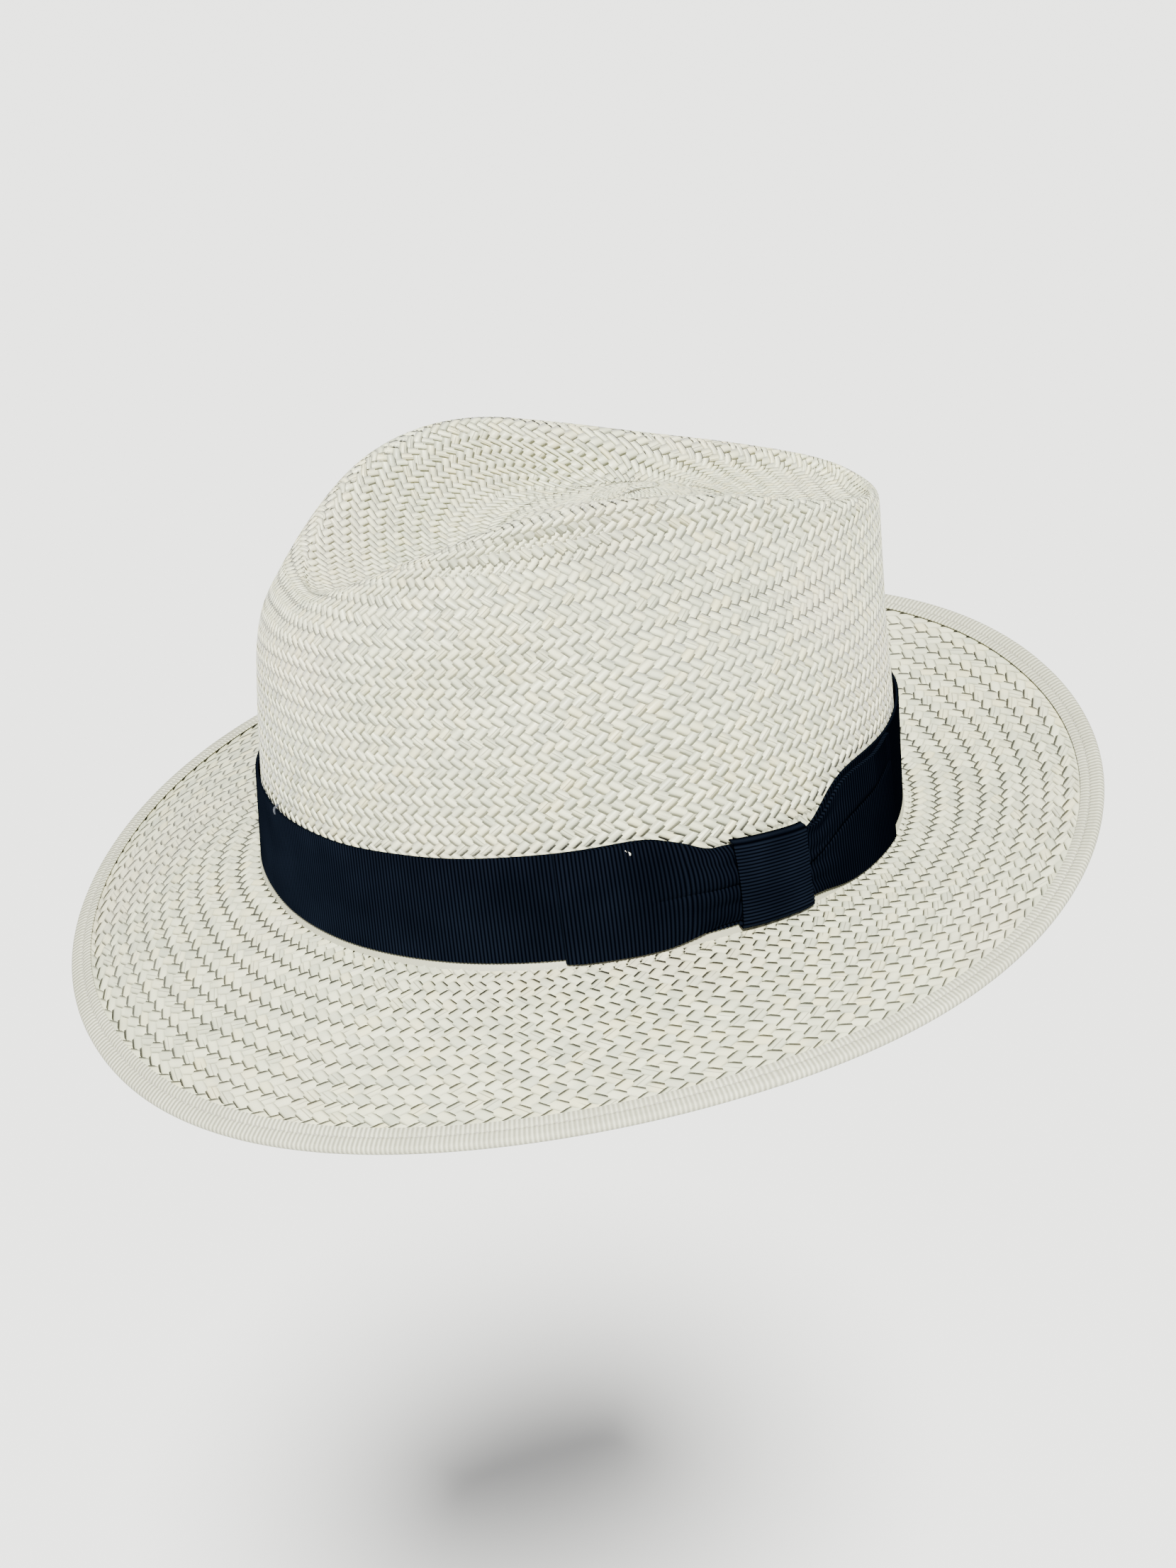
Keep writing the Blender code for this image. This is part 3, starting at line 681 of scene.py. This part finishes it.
position, outward, valid = sampleSheet(t, g["Sheet"],
                                       calc(t, 'MINIMUM', calc(t, 'MAXIMUM', uAxis, 0.0), 1.0),
                                       calc(t, 'MINIMUM', vAxis, 1.0))
ripple = times(t, calc(t, 'COSINE', times(t, times(t, uAxis, g["Ribs"]), 2 * math.pi)),
               times(t, g["Rib Depth"], 0.5))
fromEnd = times(t, calc(t, 'MINIMUM', uAxis, minus(t, 1.0, uAxis)), minus(t, g["Columns"], 1.0))
endPinch = calc(t, 'MAXIMUM', g["Joined"], calc(t, 'MINIMUM', over(t, fromEnd, 2.0), 1.0))
lift = times(t, times(t, isFront, plus(t, g["Thickness"], ripple)), endPinch)
store = place(t, 'GeometryNodeStoreNamedAttribute', {'Geometry': strip.outputs[0], 'Name': "lay"},
              data_type='FLOAT2', domain='CORNER')
t.links.new(place(t, 'ShaderNodeCombineXYZ', {0: uAxis, 1: vAxis}).outputs[0], store.inputs['Value'])
moved = place(t, 'GeometryNodeSetPosition',
              {'Geometry': store.outputs[0],
               'Position': vecCalc(t, 'ADD', position, vecCalc(t, 'SCALE', outward, lift))}).outputs[0]
merged = place(t, 'GeometryNodeMergeByDistance', {'Geometry': moved, 'Distance': 0.000002}).outputs[0]
flipped = place(t, 'GeometryNodeFlipFaces', {0: merged}).outputs[0]
finished = place(t, 'GeometryNodeSetMaterial', {'Geometry': flipped, 'Material': g["Material"]}).outputs[0]
t.links.new(finished, groupOut.inputs[0])


# grid is [across, along]; the ribbon's length runs along its second axis
def ribbon(name, grid, values, material, joined=False):
    v = np.broadcast_to(np.linspace(0, 1, grid.shape[0])[:, None], grid.shape[:2])
    sheet = guideSheet(name + "Sheet", grid, v, joined)
    piece = runTree(ribbonTree, name, {
        "Sheet": sheet, "Columns": int(values["ribs"] * values["perRib"]) + 1, "Rows": values["rows"],
        "Ribs": float(values["ribs"]), "Rib Depth": values["ribDepth"], "Thickness": values["thickness"],
        "Joined": 1.0 if joined else 0.0, "Material": material})
    bpy.data.objects.remove(sheet)
    piece.data.shade_smooth()
    piece.data.set_sharp_from_angle(angle=math.radians(50))
    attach(piece, "root")
    print(name, len(piece.data.polygons), "faces")
    return piece


# point on the wall behind the band: part 0 to 1 over the band's height, moved outward
def onBand(a, part, out):
    keys = crownRings(a.reshape(-1))[:3].reshape((3,) + a.shape + (3,))
    k = (part * 2)[..., None]
    spot = np.where(k < 1, keys[0] + (keys[1] - keys[0]) * k, keys[1] + (keys[2] - keys[1]) * (k - 1))
    after = crownRings((a + 0.004).reshape(-1))[1].reshape(a.shape + (3,))
    before = crownRings((a - 0.004).reshape(-1))[1].reshape(a.shape + (3,))
    side = after - before
    size = np.hypot(side[..., 0], side[..., 1])
    spot[..., 0] += side[..., 1] / size * out
    spot[..., 1] -= side[..., 0] / size * out
    return spot


bandLook = {
    "gap": 0.0003, "thickness": 0.0008, "ribs": 528, "perRib": 6, "rows": 6, "ribDepth": 0.00024,
    "colour": (0.0001, 0.0002, 0.0006, 1), "highlight": (0.0032, 0.0048, 0.0088, 1), "roughness": 0.8,
    "specular": 0.0,
}
bowLook = {
    "front": 69.3, "back": 140.5, "knotAt": 104.3, "knotWidth": 14.0,
    "ribs": 108, "perRib": 6, "rows": 44, "ribDepth": 0.00026, "thickness": 0.0012,
    "slitFrom": 84.5, "slitPart": -0.13, "slitDepth": 0.0013,
}
knotLook = {"ribs": 26, "perRib": 8, "rows": 26, "ribDepth": 0.00026, "thickness": 0.0008}
navy = ribbonMaterial("navyGrosgrain", bandLook["colour"], bandLook["highlight"], bandLook["ribs"], 34.0,
                      bandLook["roughness"], 0.00006, bandLook["specular"])
navyBow = ribbonMaterial("navyGrosgrainBow", bandLook["colour"], bandLook["highlight"], bowLook["ribs"],
                         34.0, bandLook["roughness"], 0.00006, bandLook["specular"])
navyKnot = ribbonMaterial("navyGrosgrainKnot", bandLook["colour"], bandLook["highlight"],
                          knotLook["ribs"], 26.0, bandLook["roughness"], 0.00006, bandLook["specular"])


def gathered(deg, spread=6.5):
    beyond = np.maximum(np.abs(deg - bowLook["knotAt"]) - bowLook["knotWidth"] / 2 - 0.8, 0.0)
    return np.exp(-(beyond / spread) ** 2)


def knotParts(deg):
    k = (deg - bowLook["knotAt"]) / bowLook["knotWidth"]
    return 0.03 - 0.03 * k, 0.745 - 0.070 * k


bandTurn = np.radians(np.arange(721) / 2.0)
bandPart = np.linspace(0, 1, 9)[:, None]
bandTop = 1 - gathered(np.degrees(bandTurn)) * (1 - 0.745
                                                + 0.05) - 0.055 * np.exp(-((np.degrees(bandTurn) - 106)
                                                    / 17) ** 4)
sway = 0.00012 * np.sin(7 * bandTurn + 0.6) + 0.00010 * np.sin(16 * bandTurn)
bandGrid = onBand(np.broadcast_to(bandTurn, (9, 721)), bandPart * bandTop,
                  bandLook["gap"] + 0.0001 + sway * (0.3 + bandPart))

# a thin sheet between the brim's two families of strands closes the slits that they leave
coreLook = {"under": 0.00052, "ribs": 72, "perRib": 5, "rows": 60, "ribDepth": 0.0, "thickness": 0.00008}
brimRowsOut = brimGrid[::-1].copy()
coreGrid = brimRowsOut - outwardOf(brimRowsOut) * coreLook["under"]
brimCore = ribbon("brimCore", coreGrid, coreLook, brimStraw, joined=True)

hatBand = ribbon("hatBand", bandGrid, bandLook, navy, joined=True)
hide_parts("hat_band")

# bow: a loop folded at the left, drawn in under the knot, and a tail whose lower part is tucked behind
bowDegrees = np.linspace(bowLook["front"], bowLook["back"], 361)[None]
bowK = np.linspace(-1, 1, 121)[:, None]
knotHalf = bowLook["knotWidth"] / 2
pull = gathered(bowDegrees)
low, high = knotParts(np.clip(bowDegrees, bowLook["knotAt"] - knotHalf, bowLook["knotAt"] + knotHalf))
lowPart = -0.030 + (low + 0.042) * pull
highPart = 1.012 + (high - 1.024) * pull
tailPart = np.clip((bowDegrees - bowLook["knotAt"] - knotHalf) / (bowLook["back"] - bowLook["knotAt"]
    - knotHalf), 0, 1)
leftPart = np.clip((bowLook["knotAt"] - knotHalf - bowDegrees) / (bowLook["knotAt"] - knotHalf
    - bowLook["front"]), 0, 1)
isLeft = bowDegrees < bowLook["knotAt"]
closeness = np.where(isLeft,
                     np.clip((bowDegrees - bowLook["slitFrom"]) / (bowLook["knotAt"] - knotHalf
                         - bowLook["slitFrom"]), 0, 1), 0)
slit = np.exp(-((bowK - bowLook["slitPart"] - 0.03 * closeness) / (0.035
    + 0.02 * closeness)) ** 2) * closeness ** 0.6
shoulders = np.exp(-((bowK - bowLook["slitPart"] - 0.22) / 0.18) ** 2) * closeness * 0.9 + np.exp(-((bowK
    - bowLook["slitPart"] + 0.22) / 0.16) ** 2) * closeness * 0.5
# the tuck runs from the knot's middle up to the tail's end; below it the ribbon sits a step lower
tuckLine = -0.02 + 0.55 * tailPart ** 0.8
step = np.where(isLeft, 0, 1 / (1 + np.exp(-(bowK - tuckLine) / 0.022)))
tuckFade = np.clip((0.93 - tailPart) / 0.25, 0, 1)
tail = np.where(isLeft, 0.0,
                (step * 0.0016 * tuckFade - 0.0011 * np.exp(-((bowK - tuckLine + 0.03) / 0.06) ** 2) * (1
                    - tailPart) ** 0.5 * np.clip(tailPart * 12, 0, 1)))
creases = 0.00022 * np.sin(bowK * 13 + bowDegrees * 0.12) * pull * (1
    - np.exp(-((bowDegrees - bowLook["knotAt"]) / 5.0) ** 2))
endCurl = 0.0008 * np.exp(-((bowDegrees - bowLook["front"]) / 1.6) ** 2)
drawnIn = -0.0005 * pull
bowOut = (0.0017 + 0.0004 * np.sin(np.pi * leftPart) - bowLook["slitDepth"] * slit + 0.0007 * shoulders
          + tail + creases + drawnIn - endCurl * 0.6
          + 0.0003 * np.sin(np.pi * tailPart))
bowPart = lowPart + (highPart - lowPart) * (0.5 + 0.5 * bowK)
# the ribs bow as the loop is drawn in
bowSlope = 1.0 * (1 - leftPart) ** 2 * 1.4 * (bowK ** 2) * isLeft - 1.2 * (~isLeft) * pull * bowK ** 2
bowGrid = onBand(np.radians(np.broadcast_to(bowDegrees, bowPart.shape)
                            - bowSlope * (1 - np.exp(-((bowDegrees - bowLook["front"]) / 4) ** 2))),
                            bowPart, bowOut)
bow = ribbon("bowRibbon", bowGrid, bowLook, navyBow)
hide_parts("bow_ribbon")

# knot: its ribbon goes over the bow and turns in behind it above and below
knotK = np.linspace(-1, 1, 81)[None]
knotDegrees = np.linspace(bowLook["knotAt"] - knotHalf, bowLook["knotAt"] + knotHalf, 41)[:, None]
low, high = knotParts(knotDegrees)
roll = np.clip((np.abs(knotK) - 0.90) / 0.10, 0, 1)
knotPart = (low + high) / 2 + (high - low) / 2 * 1.065 * np.sign(knotK) * (np.minimum(np.abs(knotK),
    0.90) / 0.90 * 0.965 + 0.035 * np.sin(roll * np.pi / 2))
waist = 1 - 0.05 * np.cos(np.pi * knotK / 2)
knotOut = 0.0047 - 0.0029 * (1 - np.cos(roll * np.pi / 2)) + 0.0003 * np.cos(np.pi * knotK
    / 2) - 0.0006 * ((knotDegrees - bowLook["knotAt"]) / knotHalf) ** 4
knotTurn = bowLook["knotAt"] + (knotDegrees - bowLook["knotAt"]) * waist
knotGrid = onBand(np.radians(np.broadcast_to(knotTurn, knotPart.shape)), knotPart, knotOut)
knot = ribbon("bowKnot", knotGrid[::-1], knotLook, navyKnot)
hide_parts("bow_knot")
print("ribbon, bow and knot laid")

# binding tape folded over the brim's edge
bindingLook = {
    "width": 0.0054, "groove": 0.00044, "stitchPart": 0.50,
    "stitches": 330, "threadRadius": 0.00024,
    "colour": (0.25, 0.247, 0.18, 1), "highlight": (0.54, 0.54, 0.41, 1), "ribs": 640.0,
}


def edgeFrame(a):
    p1, p0 = brimPoint(a, 1.0), brimPoint(a, 0.90)
    out = (p1 - p0) / np.linalg.norm(p1 - p0, axis=-1, keepdims=True)
    along = brimPoint(a + 0.01, 1.0) - brimPoint(a - 0.01, 1.0)
    up = np.cross(out, along)
    up = up / np.linalg.norm(up, axis=-1, keepdims=True)
    return p1, out, np.where(up[..., 2:] > 0, up, -up)


def edgePoint(a, outwardBy, upBy):
    p, out, up = edgeFrame(a)
    if outwardBy < 0:
        return brimPoint(a, 1 + outwardBy / (hatShape["brimReach"] - hatShape["fillet"])) + up * upBy
    return p + out * outwardBy + up * upBy


# middle line of the folded tape: outward and up, from the inner edge on top round to the inner edge below
def tapeSection():
    width, top, low = bindingLook["width"], 0.00045, -0.00205
    stitch = -width * bindingLook["stitchPart"]
    line = []
    for x in np.linspace(-width, 0, 23):
        sunk = bindingLook["groove"] * math.exp(-((x - stitch) / 0.00045) ** 2) + 0.00015 * math.exp(-((x
            + width) / 0.0005) ** 2)
        line.append((x, top - sunk))
    for angle in np.linspace(75, -75, 9):
        r = (top - low) / 2
        line.append((0.0002 + 0.8 * r * math.cos(math.radians(angle)),
                     (top + low) / 2 + r * math.sin(math.radians(angle)) * 1.02))
    for x in np.linspace(0, -width, 12):
        line.append((x, low + bindingLook["groove"] * 0.7 * math.exp(-((x - stitch) / 0.0006) ** 2)))
    return line


tape = ribbonMaterial("bindingTape", bindingLook["colour"], bindingLook["highlight"], bindingLook["ribs"],
                      60.0, 0.62, 0.00022)
edgeTurn = np.radians(np.arange(721) / 2.0)
tapeGrid = np.array([edgePoint(edgeTurn, x, z) for x, z in tapeSection()])[::-1]
binding = ribbon("brimBinding", tapeGrid,
                 {"ribs": 240, "perRib": 6, "rows": 30, "ribDepth": 0.0, "thickness": 0.0004}, tape,
                 joined=True)
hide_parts("brim_binding")

# stitches: one dash of thread after another along a path
stitchTree, groupIn, groupOut = newTree("runningStitch", [
    ("Path", 'NodeSocketObject', 'INPUT', None), ("Count", 'NodeSocketInt', 'INPUT', 300),
    ("Radius", 'NodeSocketFloat', 'INPUT', 0.0003), ("Length", 'NodeSocketFloat', 'INPUT', 0.0020),
    ("Seed", 'NodeSocketInt', 'INPUT', 1), ("Material", 'NodeSocketMaterial', 'INPUT', None),
    ("Geometry", 'NodeSocketGeometry', 'OUTPUT', None)])
g, t = groupIn.outputs, stitchTree
path = place(t, 'GeometryNodeObjectInfo', {'Object': g["Path"]}).outputs['Geometry']
curve = place(t, 'GeometryNodeMeshToCurve', {0: path}).outputs[0]
spaced = place(t, 'GeometryNodeCurveToPoints', {'Curve': curve, 'Count': g["Count"]}, mode='COUNT')
dash = place(t, 'GeometryNodeMeshIcoSphere', {'Radius': 1.0, 'Subdivisions': 2}).outputs[0]
shaped = place(t, 'GeometryNodeTransform', {'Geometry': dash}).outputs[0]
t.links.new(place(t, 'ShaderNodeCombineXYZ',
                  {0: g["Radius"], 1: g["Radius"], 2: times(t, g["Length"], 0.5)}).outputs[0],
                  shaped.node.inputs['Scale'])
jitter = place(t, 'FunctionNodeRandomValue', {'Seed': g["Seed"]}, data_type='FLOAT')
jitter.inputs[2].default_value, jitter.inputs[3].default_value = 0.86, 1.08
instances = place(t, 'GeometryNodeInstanceOnPoints',
                  {'Points': spaced.outputs[0], 'Instance': shaped, 'Rotation': spaced.outputs['Rotation']})
t.links.new(place(t, 'ShaderNodeCombineXYZ', {0: 1.0, 1: 1.0, 2: jitter.outputs[1]}).outputs[0],
            instances.inputs['Scale'])
real = place(t, 'GeometryNodeRealizeInstances', {0: instances.outputs[0]}).outputs[0]
finished = place(t, 'GeometryNodeSetMaterial', {'Geometry': real, 'Material': g["Material"]}).outputs[0]
t.links.new(finished, groupOut.inputs[0])


def pathObject(name, points):
    mesh = bpy.data.meshes.new(name)
    count = len(points)
    mesh.from_pydata([tuple(p) for p in points], [(i, (i + 1) % count) for i in range(count)], [])
    made = bpy.data.objects.new(name, mesh)
    bpy.context.scene.collection.objects.link(made)
    return made


def stitchRow(name, points, count, radius, length, material, node):
    path = pathObject(name + "Path", points)
    piece = runTree(stitchTree, name,
                    {"Path": path, "Count": count, "Radius": radius, "Length": length, "Seed": 7,
                     "Material": material})
    bpy.data.objects.remove(path)
    piece.data.shade_smooth()
    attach(piece, "root")
    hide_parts(node)
    print(name, len(piece.data.polygons), "faces")
    return piece


ringTurn = np.radians(np.arange(720) / 2.0)
stitchIn = -bindingLook["width"] * bindingLook["stitchPart"]
stitchRow("brimStitchTop",
          edgePoint(ringTurn, stitchIn, 0.00045 + 0.0004 - bindingLook["groove"] + 0.00012),
          bindingLook["stitches"],
          bindingLook["threadRadius"], 0.0017, tapeThread, "brim_stitch_top")
stitchRow("brimStitchUnder", edgePoint(ringTurn, stitchIn, -0.00205 - 0.0002), bindingLook["stitches"],
          bindingLook["threadRadius"], 0.0017, tapeThread, "brim_stitch_under")
print("binding and its stitches made")

# sweatband: leather with stitches, and finishes for the reed, joint tape and blank size label
sweatLook = {"low": 0.0022, "out": -0.0022, "thickness": 0.0010, "stitches": 190,
             "colour": (0.46, 0.335, 0.215, 1), "dark": (0.30, 0.20, 0.12, 1)}
leather, tree, shader = newMaterial("sweatbandLeather", Specular_IOR_Level=0.45)
at = tree.nodes.new('ShaderNodeTexCoord').outputs['Object']
pores = place(tree, 'ShaderNodeTexVoronoi', {'Vector': at, 'Scale': 900.0}).outputs['Distance']
cloud = noise(tree, at, 60.0, 4.0)
tree.links.new(blendColour(tree, spread(tree, cloud, 0.35, 0.75), sweatLook["colour"], sweatLook["dark"]),
               shader.inputs['Base Color'])
tree.links.new(spread(tree, cloud, 0.3, 0.7, 0.42, 0.58), shader.inputs['Roughness'])
bumpInto(tree, shader, plus(tree, pores, times(tree, cloud, 0.5)), 0.00012, 0.7)
sweatParts = np.linspace((sweatLook["low"] - hatShape["bandLow"]) / (hatShape["bandHigh"]
    - hatShape["bandLow"]), 1.0, 12)[:, None]
sweatOut = sweatLook["out"] - sweatLook["thickness"] - 0.0006 * sweatParts + 0.00015 * np.sin(11
    * bandTurn) * sweatParts
sweatGrid = onBand(np.broadcast_to(bandTurn, (12, 721)), np.broadcast_to(sweatParts, (12, 721)), sweatOut)
sweatband = ribbon("sweatband", sweatGrid,
                   {"ribs": 120, "perRib": 3, "rows": 11, "ribDepth": 0.0,
                    "thickness": sweatLook["thickness"]}, leather, joined=True)
sweatband.name = "sweatbandLeather"
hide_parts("sweatband")
sweatStitch = onBand(ringTurn, np.full(720, 0.095),
                     np.full(720, sweatLook["out"] - sweatLook["thickness"] - 0.00022))
stitchRow("sweatbandStitch", sweatStitch, sweatLook["stitches"], 0.00028, 0.0022, whiteThread,
          "sweatband_stitch")

reed, tree, shader = newMaterial("reedCord", Base_Color=(0.66, 0.64, 0.58, 1))
grain = noise(tree, tree.nodes.new('ShaderNodeTexCoord').outputs['Object'], 400.0, 2.0)
tree.links.new(spread(tree, grain, 0.3, 0.7, 0.32, 0.46), shader.inputs['Roughness'])
bumpInto(tree, shader, grain, 0.00005, 0.5)
labelPaper, tree, shader = newMaterial("sizeLabelCloth")
at = tree.nodes.new('ShaderNodeTexCoord').outputs['Object']
weft = place(tree, 'ShaderNodeTexWave', {'Vector': at, 'Scale': 900.0, 'Distortion': 0.4},
             bands_direction='Z').outputs[0]
tree.links.new(blendColour(tree, spread(tree, noise(tree, at, 500.0), 0.3, 0.7), (0.70, 0.69, 0.64, 1),
                           (0.62, 0.60, 0.54, 1)), shader.inputs['Base Color'])
tree.links.new(spread(tree, weft, 0.0, 1.0, 0.62, 0.8), shader.inputs['Roughness'])
bumpInto(tree, shader, weft, 0.00005, 0.6)
jointCloth, tree, shader = newMaterial("jointTapeCloth", Base_Color=(0.006, 0.008, 0.015, 1))
at = tree.nodes.new('ShaderNodeTexCoord').outputs['Object']
weft = place(tree, 'ShaderNodeTexWave', {'Vector': at, 'Scale': 420.0, 'Distortion': 0.2},
             bands_direction='Z').outputs[0]
tree.links.new(spread(tree, weft, 0.0, 1.0, 0.5, 0.68), shader.inputs['Roughness'])
bumpInto(tree, shader, weft, 0.0001, 0.8)
for node, paint in (("sweatband_reed", reed), ("size_label", labelPaper),
                    ("sweatband_joint_tape", jointCloth)):
    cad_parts[node].data.materials.clear()
    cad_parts[node].data.materials.append(paint)
print("sweatband fitted")

# thread tacks that hold the band's upper edge, each a short twisted curl
tackLook = {
    "radius": 0.00019, "twist": 0.00014,
    "left": {"at": 81.5, "out": 0.0030, "thread": whiteThread, "slot": "white_thread"},
    "front": {"at": 4.0, "out": 0.0016, "thread": navyThread, "slot": "navy_thread"},
    "right": {"at": 270.0, "out": 0.0016, "thread": navyThread, "slot": "navy_thread"},
    "back": {"at": 184.0, "out": 0.0016, "thread": navyThread, "slot": "navy_thread"},
}
for side in ("left", "front", "right", "back"):
    deg, onTop, thread, slot = (tackLook[side][key] for key in ("at", "out", "thread", "slot"))
    if side == "left":
        a = np.radians(np.array([deg - 0.9, deg - 0.3, deg + 0.2, deg + 0.4, deg + 0.4, deg + 0.2]))
        parts = np.array([0.985, 0.965, 0.950, 0.938, 0.924, 0.905])
        outs = onTop + np.array([-0.0010, 0.0, 0.0002, 0.0003, 0.0002, -0.0003])
    else:
        a = np.full(6, math.radians(deg))
        parts = np.array([0.955, 0.985, 1.012, 1.030, 1.040, 1.045])
        outs = onTop + np.array([0.0, 0.0002, 0.0001, -0.0006, -0.0011, -0.0013])
    middle = onBand(a, parts, outs)
    curve = bpy.data.curves.new("tack" + side, 'CURVE')
    curve.dimensions, curve.bevel_depth = '3D', tackLook["radius"]
    curve.bevel_resolution, curve.resolution_u, curve.use_fill_caps = 2, 8, True
    for twist in (0, 1):
        spline = curve.splines.new('NURBS')
        spline.points.add(len(middle) * 3 - 1)
        along = np.linspace(0, 5, len(middle) * 3)
        fine = np.array([np.interp(along, np.arange(6), middle[:, axis]) for axis in range(3)]).T
        for i, (point, where) in enumerate(zip(spline.points, fine)):
            swing = i * 1.15 + twist * math.pi
            turned = np.array([math.cos(swing), math.cos(swing + 0.6), math.sin(swing)])
            point.co = (*(where + tackLook["twist"] * turned), 1)
        spline.order_u, spline.use_endpoint_u = 3, True
    holder = bpy.data.objects.new("tackHolder", curve)
    bpy.context.scene.collection.objects.link(holder)
    bpy.context.view_layer.update()
    mesh = bpy.data.meshes.new_from_object(holder.evaluated_get(bpy.context.evaluated_depsgraph_get()))
    bpy.data.objects.remove(holder)
    tack = bpy.data.objects.new("bandTack" + side.capitalize(), mesh)
    bpy.context.scene.collection.objects.link(tack)
    mesh.materials.clear()
    mesh.materials.append(thread)
    mesh.shade_smooth()
    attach(tack, "root")
    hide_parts("band_tack_" + side)
print("tacks sewn")

low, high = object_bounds()
print("sizes", [round(v, 4) for v in (*low, *high)])
